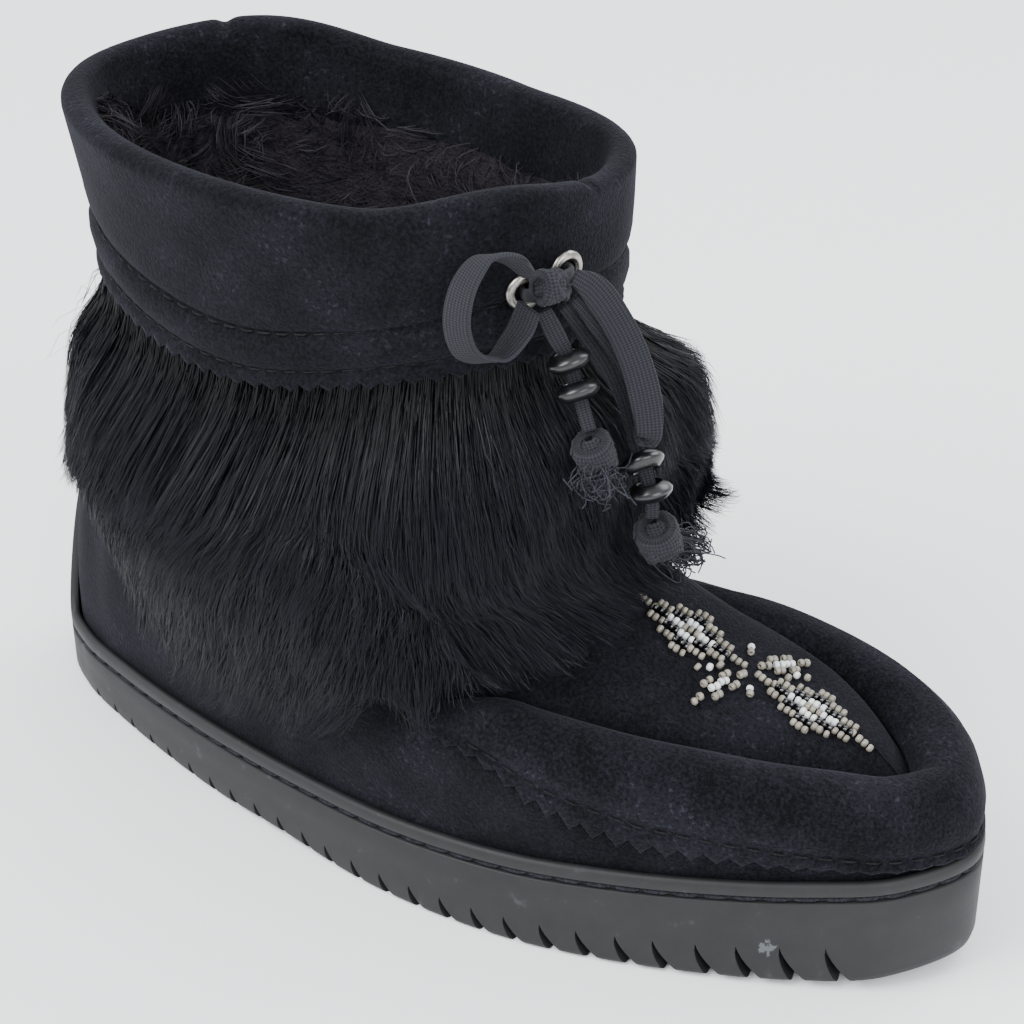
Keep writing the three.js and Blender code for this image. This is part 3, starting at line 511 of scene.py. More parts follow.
class Finish:
    """A material made of nodes round one Principled shader."""

    def __init__(self, name):
        self.material = bpy.data.materials.new(name)
        self.material.use_nodes = True
        self.tree = self.material.node_tree
        self.shader = next(n for n in self.tree.nodes if n.type == "BSDF_PRINCIPLED")

    def node(self, kind, settings=None, inputs=None, output=0):
        made = self.tree.nodes.new(kind)
        for key, value in (settings or {}).items():
            if key == "ramp":
                stops = made.color_ramp.elements
                while len(stops) < len(value):
                    stops.new(0.5)
                for stop, (at, colour) in zip(stops, value):
                    stop.position, stop.color = at, (*colour, 1.0)
            else:
                setattr(made, key, value)
        for key, value in (inputs or {}).items():
            self.feed(made.inputs[key], value)
        return Value(self, made.outputs[output])

    def feed(self, socket, value):
        if isinstance(value, Value):
            self.tree.links.new(value.socket, socket)
        elif isinstance(value, (tuple, list)) and len(value) == 3 and socket.type == "RGBA":
            socket.default_value = (*value, 1.0)
        else:
            socket.default_value = value

    def place(self):
        return self.node("ShaderNodeTexCoord", output=3)

    def noise(self, size, detail, stretch=None):
        """Noise whose lumps are about size millimetres across."""
        where = self.place()
        if stretch:
            where = self.node("ShaderNodeMapping", {}, {"Vector": where, "Scale": stretch})
        inputs = {"Vector": where, "Scale": 1 / (size * MM), "Detail": detail}
        return self.node("ShaderNodeTexNoise", {}, inputs)

    def field(self, name):
        return self.node("ShaderNodeAttribute", {"attribute_name": name}, output=2)

    def ramp(self, value, *stops):
        return self.node("ShaderNodeValToRGB", {"ramp": stops}, {"Fac": value})

    def blend(self, factor, a, b):
        return self.node("ShaderNodeMix", {"data_type": "RGBA"}, {0: factor, 6: a, 7: b}, output=2)

    def bump(self, height, strength, distance):
        inputs = {"Height": height, "Strength": strength, "Distance": distance * MM}
        return self.node("ShaderNodeBump", {}, inputs)

    def set(self, **values):
        for key, value in values.items():
            self.feed(self.shader.inputs[key.replace("_", " ")], value)
        return self.material


def shade(colour, part):
    return tuple(part * v for v in colour)


def suede(name, dark_part=1.0, light_part=1.0):
    """Brushed suede: short nap, cloudy where it has been stroked, with pale flecks."""
    f, tones = Finish(name), colours()
    dark, light = shade(tones.suede_dark, dark_part), shade(tones.suede_light, light_part)
    clouds, nap, flecks, grain = f.noise(16, 3), f.noise(0.9, 4), f.noise(1.3, 5), f.noise(0.4, 2)
    tone = clouds * 0.3 + nap * 0.45 + grain * 0.25
    colour = f.ramp(tone, (0.42, dark), (0.59, light))
    fleck = (flecks.between(0.58, 0.68) * 0.6) * clouds.between(0.46, 0.62)
    return f.set(
        Base_Color=f.blend(fleck, colour, shade(light, 3)), Roughness=0.95, Specular_IOR_Level=0.08,
        Normal=f.bump(grain * 0.5 + nap, 0.85, 0.45),
        Sheen_Weight=0.035, Sheen_Roughness=0.5, Sheen_Tint=(0.8, 0.8, 1.0),
    )


# where the photograph shows a pale chip in the rubber
CHIP, CHIP_TONE = (236.8, -28, 11.8), (0.075, 0.083, 0.09)
DUST_TONE = (0.07, 0.072, 0.076)


def rubber():
    """Moulded rubber, satin, with faint flow marks, dust and scuffs."""
    f = Finish("outsole_rubber")
    flow, dust, grain = f.noise(26, 3, stretch=(1, 1, 2.5)), f.noise(5, 5), f.noise(0.5, 2)
    dark, light = (0.0075, 0.0079, 0.0085), (0.0125, 0.0130, 0.0138)
    colour = f.ramp(flow * 0.6 + dust * 0.4, (0.35, dark), (0.65, light))
    colour = f.blend(dust.between(0.66, 0.76) * 0.35, colour, DUST_TONE)
    ends = {0: f.place(), 1: tuple(place(CHIP))}
    off = f.node("ShaderNodeVectorMath", {"operation": "DISTANCE"}, ends, output=1)
    chip = (off + f.noise(1.3, 3) * (7 * MM)).between(5.6 * MM, 5.0 * MM)
    return f.set(
        Base_Color=f.blend(chip, colour, CHIP_TONE), Roughness=flow * 0.22 + grain * 0.08 + 0.42,
        Specular_IOR_Level=0.34, Normal=f.bump(grain + dust * 0.6, 0.12, 0.25),
    )


def hair(name, root, tip, roughness):
    """Hair strips, paler towards the tip, each with its own tone; on the fur the paler, bluer tips are
    painted sheen.
    """
    f = Finish(name)
    along, tone = f.field("along"), f.field("tone")
    # the blend from root to tip colour paints the fur's bluish sheen into the hair's colour
    colour = f.blend(tone * 0.55, f.blend(along**1.6, root, tip), shade(root, 0.25))
    return f.set(Base_Color=colour, Roughness=tone * 0.12 + roughness, Specular_IOR_Level=0.2)


def fleece(name, dark, light):
    """Short pile under the hairs."""
    f = Finish(name)
    lumps, fine = f.noise(4, 4), f.noise(0.9, 3)
    return f.set(
        Base_Color=f.ramp(lumps * 0.6 + fine * 0.4, (0.35, dark), (0.65, light)),
        Roughness=0.95, Specular_IOR_Level=0.1, Normal=f.bump(lumps + fine, 0.9, 1.2),
    )


def cotton(name, dark, light):
    """Flat woven cotton: slanted ribs across the width, over and under along it."""
    f = Finish(name)
    across = f.node("ShaderNodeSeparateXYZ", {}, {"Vector": f.node("ShaderNodeUVMap", {"uv_map": "lay"})})
    along = Value(f, across.socket.node.outputs[1])
    slant, rise = across * 3.6, along * (2 * math.pi / 1.15)
    weave = (rise + slant).sine() * (rise - slant).sine() * 0.5 + 0.5
    fuzz = f.noise(0.3, 3)
    tone = weave * 0.65 + fuzz * 0.35
    return f.set(
        Base_Color=f.ramp(tone, (0.25, dark), (0.75, light)), Roughness=0.9, Specular_IOR_Level=0.2,
        Normal=f.bump(weave + fuzz * 0.5, 0.7, 0.35), Sheen_Weight=0.03,
    )


def thread(name, dark, light):
    """Twisted sewing thread."""
    f = Finish(name)
    twist = f.noise(0.5, 2)
    return f.set(
        Base_Color=f.ramp(twist, (0.35, dark), (0.65, light)), Roughness=0.75, Specular_IOR_Level=0.15,
        Normal=f.bump(twist, 0.5, 0.15),
    )


def glaze(name, colour, dark, roughness, coat):
    """Glass of a bead, a little uneven in colour from one bead to the next."""
    f = Finish(name)
    tone = f.noise(2.6, 1)
    return f.set(
        Base_Color=f.ramp(tone, (0.38, dark), (0.62, colour)), Roughness=tone * 0.08 + roughness,
        Coat_Weight=coat, Coat_Roughness=0.06, Normal=f.bump(f.noise(0.8, 2), 0.06, 0.1),
    )


def gunmetal():
    """Burnished eyelet metal."""
    f = Finish("eyelet_metal")
    wear = f.noise(1.6, 4)
    return f.set(
        Base_Color=f.ramp(wear, (0.35, (0.20, 0.19, 0.175)), (0.65, (0.42, 0.40, 0.37))), Metallic=1.0,
        Roughness=wear * 0.2 + 0.24, Normal=f.bump(wear, 0.15, 0.1),
    )


# ---- Sizes and colours that a user would change ----
class MuklukSizes(bpy.types.PropertyGroup):
    """Sizes of the boot's soft parts."""

    hair_count: IntProperty(
        name="Fur hairs", description="Number of hairs in the fur cuff", default=73000, min=1000
    )
    hair_length: FloatProperty(
        name="Hair length", description="Length of the fur in millimetres", default=25.0, min=5.0
    )
    hair_width: FloatProperty(
        name="Hair width", description="Width of one lock of hair in millimetres", default=0.23, min=0.05
    )
    pile_count: IntProperty(
        name="Lining tufts", description="Number of tufts in the collar's lining", default=25000, min=1000
    )
    bead_width: FloatProperty(
        name="Seed bead width", description="Width of a seed bead in millimetres", default=2.0, min=0.5
    )
    tooth_pitch: FloatProperty(
        name="Pinking pitch", description="Width of one pinked tooth in millimetres", default=4.9, min=1.0
    )
    tooth_height: FloatProperty(
        name="Pinking height", description="Height of one pinked tooth in millimetres", default=2.6, min=0.2
    )


class MuklukColours(bpy.types.PropertyGroup):
    """Colours of the boot's finishes."""

    suede_dark: FloatVectorProperty(
        name="Suede, dark", description="Suede where the nap lies down", subtype="COLOR",
        default=(0.0019, 0.0019, 0.0027),
    )
    suede_light: FloatVectorProperty(
        name="Suede, light", description="Suede where the nap stands up", subtype="COLOR",
        default=(0.0082, 0.0082, 0.0114),
    )
    fur_root: FloatVectorProperty(
        name="Fur", description="Hair near the skin", subtype="COLOR", default=(0.0008, 0.0008, 0.0013)
    )
    fur_tip_sheen: FloatVectorProperty(
        # the fur's tip colour is paler and bluer than its root: painted sheen on near-black hair
        name="Fur tips", description="Hair at the tip", subtype="COLOR", default=(0.0046, 0.0049, 0.0115)
    )
    lace: FloatVectorProperty(
        name="Lace", description="Woven lace", subtype="COLOR", default=(0.026, 0.0265, 0.0335)
    )


def sizes():
    return bpy.context.scene.mukluk_sizes


def colours():
    return bpy.context.scene.mukluk_colours


# ---- Camera, light and floor ----
# metres and watts
FLOOR_WIDTH = 12.0
SKY, SKY_COLOUR = 1.6, (0.93, 0.96, 1.0, 1.0)
LAMP_AIM = (0.1, 0, 0.08)
SOFTBOXES = [
    # name, place, width, watts
    ("key", (-0.5, -0.9, 1.3), 0.9, 30),
    ("fill", (1.2, -0.5, 0.9), 0.9, 14),
    ("back", (0.5, 1.3, 1.3), 1.0, 16),
]


def make_camera():
    azimuth, elevation, roll = (math.radians(v) for v in (CAMERA_AZIMUTH, CAMERA_ELEVATION, CAMERA_ROLL))
    level = math.cos(elevation)
    back = Vector((math.sin(azimuth) * level, -math.cos(azimuth) * level, math.sin(elevation)))
    right = Vector((math.cos(azimuth), math.sin(azimuth), 0))
    up = back.cross(right)
    right, up = math.cos(roll) * right + math.sin(roll) * up, math.cos(roll) * up - math.sin(roll) * right
    lens = bpy.data.cameras.new("photo_camera")
    lens.lens, lens.sensor_width = CAMERA_LENS, SENSOR
    lens.shift_x, lens.shift_y = CAMERA_SHIFT
    lens.clip_start, lens.clip_end = 0.02, 20
    camera = link(bpy.data.objects.new("photo_camera", lens))
    turn = np.array([right, up, back]).T
    camera.matrix_world = Matrix([[*turn[k], place(CAMERA_PLACE)[k]] for k in range(3)] + [[0, 0, 0, 1]])
    bpy.context.scene.camera = camera


def make_stage():
    floor = bpy.data.meshes.new("floor")
    half = FLOOR_WIDTH / 2
    corners = [(x * half, y * half, 0) for x, y in ((-1, -1), (1, -1), (1, 1), (-1, 1))]
    floor.from_pydata(corners, [], [(0, 1, 2, 3)])
    paper = Finish("floor_paper").set(Base_Color=(0.95, 0.955, 0.965), Roughness=0.9, Specular_IOR_Level=0.1)
    floor.materials.append(paper)
    link(bpy.data.objects.new("floor", floor))
    world = bpy.data.worlds.new("studio")
    bpy.context.scene.world = world
    world.use_nodes = True
    background = world.node_tree.nodes["Background"]
    background.inputs["Color"].default_value = SKY_COLOUR
    background.inputs["Strength"].default_value = SKY
    for name, place_m, width, watts in SOFTBOXES:
        lamp = bpy.data.lights.new(name, "AREA")
        lamp.shape, lamp.size, lamp.energy = "SQUARE", width, watts
        box = link(bpy.data.objects.new(name, lamp))
        box.location = place_m
        box.rotation_mode = "QUATERNION"
        box.rotation_quaternion = (Vector(place_m) - Vector(LAMP_AIM)).to_track_quat("Z", "Y")


# ---- Lace: the same points as the part's own lace ----
LACE_WIDTH, LACE_THICKNESS = 7.2, 1.4
LOOP_OUTER = [
    # x, y, z, part of the full width
    (167.6, -23.9, 165.7, 0.55), (165.7, -28.6, 171, 0.95), (162.6, -33.4, 171.8, 1),
    (160.4, -37.6, 167.2, 1), (159.2, -39.4, 157.7, 1), (160.4, -36.9, 149.6, 1),
    (163.4, -31, 147.4, 1), (166.4, -26.6, 152.4, 1), (168.2, -24.9, 158.4, 0.9),
]
LOOP_INNER = [
    (174.1, -16, 164, 0.5), (177, -12.6, 160.3, 0.95), (181.5, -10, 152.6, 1), (186, -9.4, 144.1, 1),
    (190, -10.6, 134.9, 1), (191.8, -12, 128.4, 0.8), (189.4, -9.4, 125.8, 0.8), (187.2, -5.8, 133, 0.9),
    (181.6, -6.9, 143.4, 0.9), (177.2, -10.9, 152, 0.8), (173.6, -14.6, 158.6, 0.5),
]
END_OUTER = [
    (169.6, -21.4, 156.6, 0.5), (172.4, -20.6, 151, 0.6), (175, -20, 146.2, 0.44),
    (177.5, -20.4, 140.4, 0.44), (180.4, -21.3, 134.6, 0.44), (182.3, -22, 130.8, 0.44),
]
END_INNER = [
    (171.2, -15.2, 156.2, 0.5), (174.4, -10, 147, 0.7), (178.4, -7.4, 139, 0.7), (182.4, -7, 130.6, 0.5),
    (186.4, -8.8, 122.6, 0.44), (190.6, -11, 117, 0.44), (192.8, -11.8, 111, 0.44), (193.1, -12, 107, 0.44),
]
LACE_FACING = np.array([0.5, -0.7, 0.5]) / math.sqrt(0.99)
LOOP_AXIS = np.array([0.94, 0, 0.34])
KNOT_AXIS = np.array([0.35, 0.1, -0.9])
KNOT = (170.8, -20.2, 162.3)
END_KNOT_OUTER = (184.4, -22.7, 125.4)
END_KNOT_INNER = (195, -11.5, 101.2)
# direction of each wave that makes a knot lumpy, and how many times its seed shifts it
KNOT_LUMPS = [((1.9, 0.7, 1.3), 1), ((-0.8, 2.1, 1.1), 2), ((1.2, -1.4, 2.3), 0)]
KNOT_LUMP_HEIGHT, YARN_WIDTH = 0.16, 0.32
KNOTS = [
    # node, centre, axis, half length along it, radius, seed
    ("lace_knot", KNOT, (0.75, 0.6, 0.1), 3.7, 4.0, 3),
    ("lace_end_knot_outer", END_KNOT_OUTER, KNOT_AXIS, 4.6, 4.8, 5),
    ("lace_end_knot_inner", END_KNOT_INNER, KNOT_AXIS, 5.2, 5.2, 8),
]
FRAYS = [
    # piece, start, heads, threads, seed
    ("fray_inner", END_KNOT_INNER, [(197, -3, 96), (197, 3, 92), (195, -1, 91)], 130, 21),
    ("fray_outer", END_KNOT_OUTER, [(186, -26, 120), (187, -20, 118)], 80, 22),
]
GLASS_BEADS = [
    ("glass_bead_outer_upper", END_OUTER, 0.44),
    ("glass_bead_outer_lower", END_OUTER, 0.68),
    ("glass_bead_inner_upper", END_INNER, 0.765),
    ("glass_bead_inner_lower", END_INNER, 0.885),
]


def lying_flat(tangent):
    return np.cross(tangent, LACE_FACING)


def round_the_loop(tangent):
    return LOOP_AXIS - tangent * (tangent @ LOOP_AXIS)[:, None]


def half_of_lace(name, loop, end, material):
    """One half of the lace: its loop, the turn inside the knot and its end, with the path that it follows."""
    points, uvs, faces, paths, base = [], [], [], [], 0
    for table, reference, steps in ((*loop, 90), (*end, 60)):
        path = open_curve(table, steps)
        rings, sides, uv = tube(path[:, :3], LACE_WIDTH * path[:, 3], LACE_THICKNESS, reference, sides=16)
        points.append(rings.reshape(-1, 3))
        uvs.append(uv.reshape(-1, 2))
        faces += [part + base for part in sides]
        base += len(points[-1])
        paths.append(path[:, :3])
    piece = mesh_piece(name, np.vstack(points), faces, material, uv=np.vstack(uvs))
    return piece, np.vstack(paths)


def lathe(profile, centre, axis, segments):
    """A turned piece: profile of (radius, height), turned round an axis through centre."""
    axis = unit(np.asarray(axis, float))
    side = unit(np.cross(axis, [0.3, 0.9, 0.2]))
    other = np.cross(axis, side)
    angle = np.arange(segments) * 2 * np.pi / segments
    ring = np.cos(angle)[:, None] * side + np.sin(angle)[:, None] * other
    points = np.array([centre + axis * h + ring * r for r, h in profile])
    return points, quads(len(profile), segments)[:, ::-1]


def steady(direction):
    """A reference for tube() that is the same all along the path."""
    return lambda tangent: np.tile(direction, (len(tangent), 1))


def knot_mesh(centre, axis, along, across, seed):
    """A tight knot: three turns of lace wound over one another round a core, with a lumpy surface."""
    rng = np.random.default_rng(seed)
    centre, axis = np.asarray(centre), unit(np.asarray(axis, float))
    side = unit(np.cross(axis, LACE_FACING))
    face = np.cross(side, axis)
    round_it = np.linspace(0, 2 * np.pi, 40)[:, None]
    parts = []
    for k in range(3):
        tilt = 0.5 * (k - 1) + rng.uniform(-0.15, 0.15)
        normal = np.cos(tilt) * axis + np.sin(tilt) * (side if k % 2 else face)
        u = unit(np.cross(normal, face))
        circle = np.cos(round_it) * u + np.sin(round_it) * np.cross(normal, u)
        ring = centre + axis * along * 0.42 * (k - 1) + across * (0.72 - 0.07 * k) * circle
        parts.append(tube(ring, along * 0.95, across * 0.62, steady(normal), sides=12, power=0.8))
    core = centre + np.outer(np.linspace(-0.95, 0.95, 14), axis * along)
    belly = across * 1.5 * np.sqrt(1 - np.linspace(-0.96, 0.96, 14) ** 2)
    parts.append(tube(core, belly, belly * 0.95, steady(side), sides=14, power=1.0))
    points, faces = joined_meshes([(rings, sides[0]) for rings, sides, _ in parts])
    lumps = sum(np.sin(points @ way + turns * seed) for way, turns in KNOT_LUMPS)
    points = points + unit(points - centre) * (KNOT_LUMP_HEIGHT * lumps)[:, None]
    return points, faces, np.vstack([uv.reshape(-1, 2) for _, _, uv in parts])


def frayed_tail(start, heads, count, seed):
    """Loose yarn ends past a knot: thin curved threads from the knot towards each head."""
    rng = np.random.default_rng(seed)
    threads = []
    for _ in range(count):
        head = np.asarray(heads[rng.integers(len(heads))], float) + rng.normal(0, 2.2, 3)
        origin = np.asarray(start, float) + rng.normal(0, 1.6, 3)
        middle = 0.5 * (origin + head) + rng.normal(0, 2.2 * 0.9, 3)
        path = open_curve([origin, middle, head, head + rng.normal(0, 1.6, 3)], 12)
        rings, sides, _ = tube(path, YARN_WIDTH, YARN_WIDTH, lying_flat, sides=4, power=1)
        threads.append((rings, sides[0]))
    return joined_meshes(threads)


def make_lace():
    tone = tuple(colours().lace)
    weave = cotton("lace_cotton", shade(tone, 0.3), tone)
    yarn = thread("lace_yarn", shade(tone, 0.5), shade(tone, 1.5))
    glass = glaze("bead_glass", (0.003, 0.003, 0.004), (0.0015, 0.0015, 0.002), roughness=0.26, coat=0.12)
    turn = np.linspace(0, 2 * np.pi, 28)
    radii = 3.65 + 1.35 * np.cos(turn) + 0.25 * np.cos(2 * turn)
    profile = list(zip(radii, 1.75 * np.sin(turn) * (1.15 - 0.35 * np.cos(turn))))
    for name, table, part in GLASS_BEADS:
        path = open_curve(table, 200)[:, :3]
        at = int(part * 199)
        points, faces = lathe(profile, path[at], path[at + 1] - path[at - 1], 24)
        settle(mesh_piece(name + "_glass", points, faces, glass), "bead_glass", name)
    for name, *shape in KNOTS:
        points, faces, uv = knot_mesh(*shape)
        settle(mesh_piece(name + "_cotton", points, faces, weave, uv=uv), "lace_cotton", name)
    for name, *shape in FRAYS:
        settle(mesh_piece(name, *frayed_tail(*shape), yarn), "lace_cotton")
    halves = (
        ("outer", (LOOP_OUTER, round_the_loop), (END_OUTER, lying_flat), ()),
        ("inner", (LOOP_INNER, lying_flat), (END_INNER, lying_flat), ("lace_knot",)),
    )
    for half, loop, end, more in halves:
        piece, path = half_of_lace(f"lace_half_{half}", loop, end, weave)
        settle(piece, "lace_cotton", f"lace_loop_{half}", f"lace_end_{half}")


# ---- Lines to sew along ----
TURN_TABLE = np.linspace(0, 1, 4001)
RUN_TABLE = crowded(TURN_TABLE) * OUTLINE_LENGTH


class SeamLine:
    """A line round the boot that is read by its length in millimetres."""

    def __init__(self, row_of_turn, lift, first=0.0, last=1.0):
        self.row_of_turn, self.lift = row_of_turn, lift
        self.turns = np.linspace(first, last, 3001)
        self.lengths = run_along(SKIN.at(row_of_turn(self.turns), self.turns, lift))
        self.length = self.lengths[-1]

    def turn(self, distance):
        return np.interp(distance, self.lengths, self.turns)

    def read(self, distance):
        turn = self.turn(distance)
        row = self.row_of_turn(turn)
        return SKIN.at(row, turn, self.lift), SKIN.normal(row, turn)


class GrooveLine:
    """The stitch groove of the sole, read by its length."""

    length = OUTLINE_LENGTH

    def __init__(self, inset, above):
        self.inset, self.above = inset, above

    def read(self, distance):
        shape = np.shape(distance)
        c = Columns(np.interp(np.ravel(distance) % OUTLINE_LENGTH, RUN_TABLE, TURN_TABLE))
        points = c.inset(self.inset, groove_height(c) + self.above)
        normals = np.stack([c.nx, c.ny, np.zeros_like(c.nx)], -1)
        return points.reshape(*shape, 3), normals.reshape(*shape, 3)


def stitches(line, pitch, length, radius, rise, twist, sides=6, rings=7):
    """Stitches along a line: each a short thread whose ends dive into the material."""
    count = int(line.length // pitch)
    step = line.length / count
    part = np.linspace(0, 1, rings)
    distance = (np.arange(count) * step + 0.5 * (step - length))[:, None] + length * part[None]
    points, normals = line.read(distance)
    across = np.cross(unit(np.gradient(points, axis=1)), normals)
    belly = 1 - (2 * part - 1) ** 4
    points = points + normals * (rise * (2 * belly - 1))[None, :, None]
    angle = (np.arange(sides) * 2 * np.pi / sides)[None]
    ridge = 1 + 0.16 * np.cos(2 * angle + twist * (part * length)[:, None])
    reach = radius * (0.45 + 0.55 * belly)[:, None] * ridge
    ring = (
        points[:, :, None]
        + across[:, :, None] * (np.cos(angle) * reach)[None, ..., None]
        + normals[:, :, None] * (np.sin(angle) * reach)[None, ..., None]
    )
    one = quads(rings, sides)
    faces = (one[None] + (np.arange(count) * rings * sides)[:, None, None]).reshape(-1, 4)
    return ring.reshape(-1, 3), faces


# ---- Sole ----
def notch(x, sign):
    """The cutter of one curved notch: wide at the tread, swept back to a point as it climbs."""
    c = Columns(np.linspace(0.02, 0.48, 400) if sign < 0 else np.linspace(0.52, 0.98, 400))
    i = int(np.argmin(np.abs(c.x - x)))
    out = np.array([c.nx[i], c.ny[i], 0])
    forward = np.array([-c.ny[i], c.nx[i], 0])
    forward *= np.sign(forward[0])
    foot = np.array([c.x[i], c.y[i], tread(x)])
    height = mix(3.4, 10.5, clamp(x / 250, 0, 1) ** 2)
    lean = mix(2.6, 6.0, x / 250)
    points = []
    for s in np.linspace(0, 1, 8):
        up = -2 + (height + 2) * s
        run = (lean + 1) * (1 - s) ** 1.7 - lean
        half = 0.5 * (LUG_WIDTH + 1.4) * (1 - s) ** 0.8 + 0.12
        depth = 6 * (1 - s) ** 0.8 + 0.5
        for across, off in ((-1.5, 3), (1.5, 3), (0.5, -depth), (-0.4, -depth)):
            points.append(foot + forward * (run + half * across) + out * off + np.array([0, 0, up]))
    return np.array(points), np.vstack([quads(8, 4), [[3, 2, 1, 0], [28, 29, 30, 31]]])


def cross_groove(x):
    """The cutter of one straight groove across the tread."""
    c = Columns(np.linspace(0.02, 0.98, 800))
    near = c.y[np.argmin(np.where(c.y < 3, np.abs(c.x - x), 1e9))] + 4
    far = c.y[np.argmin(np.where(c.y > 3, np.abs(c.x - x), 1e9))] - 4
    half, top = LUG_WIDTH / 2, tread(x) + LUG_DEPTH
    ring = [[-half, -1], [half, -1], [half, top], [-half, top]]
    points = [[x + dx, y, z] for y in (near, far) for dx, z in ring]
    sides = [[0, 4, 5, 1], [1, 5, 6, 2], [2, 6, 7, 3], [3, 7, 4, 0]]
    return np.array(points), np.array([[0, 1, 2, 3], [7, 6, 5, 4], *sides])


def carve(piece, cutters):
    """Takes each list of cutters out of the piece."""
    for k, parts in enumerate(cutters):
        points, faces = joined_meshes(parts)
        cutter = mesh_piece(f"cutter_{k}", points, faces, piece.data.materials[0], rounded=False)
        fix = cutter.modifiers.new("weld", "WELD")
        fix.merge_threshold = 1e-7
        cut = piece.modifiers.new("carve", "BOOLEAN")
        cut.operation, cut.solver, cut.object = "DIFFERENCE", "EXACT", cutter
        graph = bpy.context.evaluated_depsgraph_get()
        mesh = bpy.data.meshes.new_from_object(piece.evaluated_get(graph))
        piece.modifiers.clear()
        piece.data = mesh
        bpy.data.objects.remove(cutter)
    piece.data.set_sharp_from_angle(angle=math.radians(38))


# inset and height of the points of the bevel, in parts of its size, and of the stitch groove and the lip
BEVEL_PROFILE = [(0.9, 0), (0.42, 0.16), (0.12, 0.5), (0, 1)]
GROOVE_PROFILE = [
    (0.15, -1.05), (0.6, -0.9), (1.3, -0.8), (1.55, -0.5), (1.55, 0.6), (1.3, 0.85), (0.5, 0.95),
    (0.08, 1.15), (0, 1.5),
]
LIP_PROFILE = [
    (0, -1.9), (0.1, -1.2), (0.4, -0.55), (0.9, -0.15), (1.5, 0), (2.05, -0.12), (2.45, -0.45),
    (LIP_THICKNESS, -1.1),
]
BEVEL_HEEL, BEVEL_TOE, BEVEL_GROWS_FROM = 1.6, 4.2, SOLE_LENGTH - 24
# the stretch under the arch where no groove crosses the tread
PLAIN_FROM, PLAIN_TO = 44, 136


def make_sole():
    count = 480
    c = Columns(np.arange(count) / count)
    bevel = mix(BEVEL_HEEL, BEVEL_TOE, smooth(c.x, BEVEL_GROWS_FROM, SOLE_LENGTH))
    ground, groove = tread(c.x), groove_height(c)
    profile = [(i * bevel, ground + z * bevel) for i, z in BEVEL_PROFILE]
    profile += [(0, mix(ground + bevel, groove - 1.25, part)) for part in (0.33, 0.66, 1)]
    profile += [(i, groove + z) for i, z in GROOVE_PROFILE]
    profile += [(i, groove + LIP_ABOVE_GROOVE + z) for i, z in LIP_PROFILE]
    profile += [(LIP_THICKNESS, floor_height(c.x))]
    rings = np.stack([c.inset(i, z) for i, z in profile])
    faces = [quads(len(profile), count)]
    faces += strip_caps(count, 0, flip=True) + strip_caps(count, (len(profile) - 1) * count)
    sole = mesh_piece("outsole_rubber_cup", rings, faces, rubber())
    places = np.arange(LUG_FIRST, LUG_LAST + 0.01, LUG_PITCH)
    notches = [notch(x, sign) for x in places for sign in (-1, 1)]
    grooves = [cross_groove(x) for x in places if not PLAIN_FROM < x < PLAIN_TO]
    carve(sole, [notches, grooves])
    settle(sole, "outsole_rubber", "outsole")
    points, faces = stitches(
        GrooveLine(inset=1.1, above=0.02), pitch=7.0, length=6.3, radius=0.72, rise=0.12, twist=7.0,
        sides=8, rings=17,
    )
    sewn = thread("sole_thread", (0.005, 0.0045, 0.007), (0.026, 0.023, 0.031))
    settle(mesh_piece("sole_stitches", points, faces, sewn), "outsole_rubber")


# ---- Upper ----
UPPER_CREASES = [
    # turn, row, half width in turns, half height in rows, lift
    (0.085, 4.5, 0.012, 3.5, -0.7),
    (0.105, 4.2, 0.016, 3.2, 0.6),
    (0.17, 3.4, 0.03, 1.6, 0.5),
    (0.23, 4.6, 0.02, 1.5, -0.6),
    (0.27, 3.2, 0.03, 1.2, 0.5),
    (0.915, 4.5, 0.014, 3.2, -0.7),
    (0.89, 4.3, 0.018, 3, 0.5),
]


def creases(table, row, turn):
    """Lift of the creases in a table at rows and turns."""
    lift = 0
    for t, r, width, height, rise in table:
        off = (np.asarray(turn) - t + 0.5) % 1 - 0.5
        lift = lift + rise * np.exp(-((off / width) ** 2) - ((row - r) / height) ** 2)
    return lift


def make_upper():
    count = 320
    dense = (np.linspace(1, 7, 56), np.linspace(7.12, 13, 44))
    rows = np.concatenate([[0, 0.5], *dense, [14, 15, 16, LAST_ROW]])
    turns = np.arange(count) / count
    r, t = np.meshgrid(rows, turns, indexing="ij")
    outer = SKIN.at(r, t, creases(UPPER_CREASES, r, t))
    r, t = np.meshgrid(rows[::-4], turns, indexing="ij")
    ahead = smooth(np.interp(t, TURNS, ROUND.x), 170, 215) * smooth(12.0 - r, 0, 2)
    grid = np.concatenate([outer, SKIN.at(r, t, -WALL * (1 - 0.75 * ahead))])
    faces = looped_quads(len(grid), count)
    settle(mesh_piece("upper_suede_shell", grid, faces, suede("upper_suede")), "upper_suede", "upper")


# ---- Moccasin band ----
BAND_PROFILE = [
    # part of the way up, lift
    (0, 0.25), (0, 1.1), (0.012, 1.55), (0.05, 1.75), (0.085, 1.5), (0.11, 1.0), (0.14, 1.15), (0.18, 2.0),
    (0.26, 2.9), (0.36, 3.6), (0.46, 4.2), (0.55, 4.9), (0.64, 5.4), (0.72, 5.5), (0.8, 5.1), (0.87, 4.2),
    (0.93, 3.0), (0.97, 1.8), (1, 0.4),
]
BAND_TOP_SEEN = 5.75
# the part of the way up that is pinked, rows a millimetre there, and where the stitches run
BAND_PINKED, BAND_ROW_PER_MM = 0.06, 0.09
BAND_STITCH_PART, BAND_STITCH_LIFT = 0.115, 1.42


def band_row(turn, part):
    """Row at a part of the way up the band."""
    return mix(np.interp(outline_x(turn), *zip(*BAND_EDGE)), BAND_TOP_SEEN, part)


def tooth_wave(distance, pitch):
    """0 in a valley and 1 at a tip, with tips and valleys slightly rounded."""
    saw = np.abs((distance / pitch) % 1 - 0.5) * 2
    return saw + 0.06 * np.sin(2 * np.pi * saw)


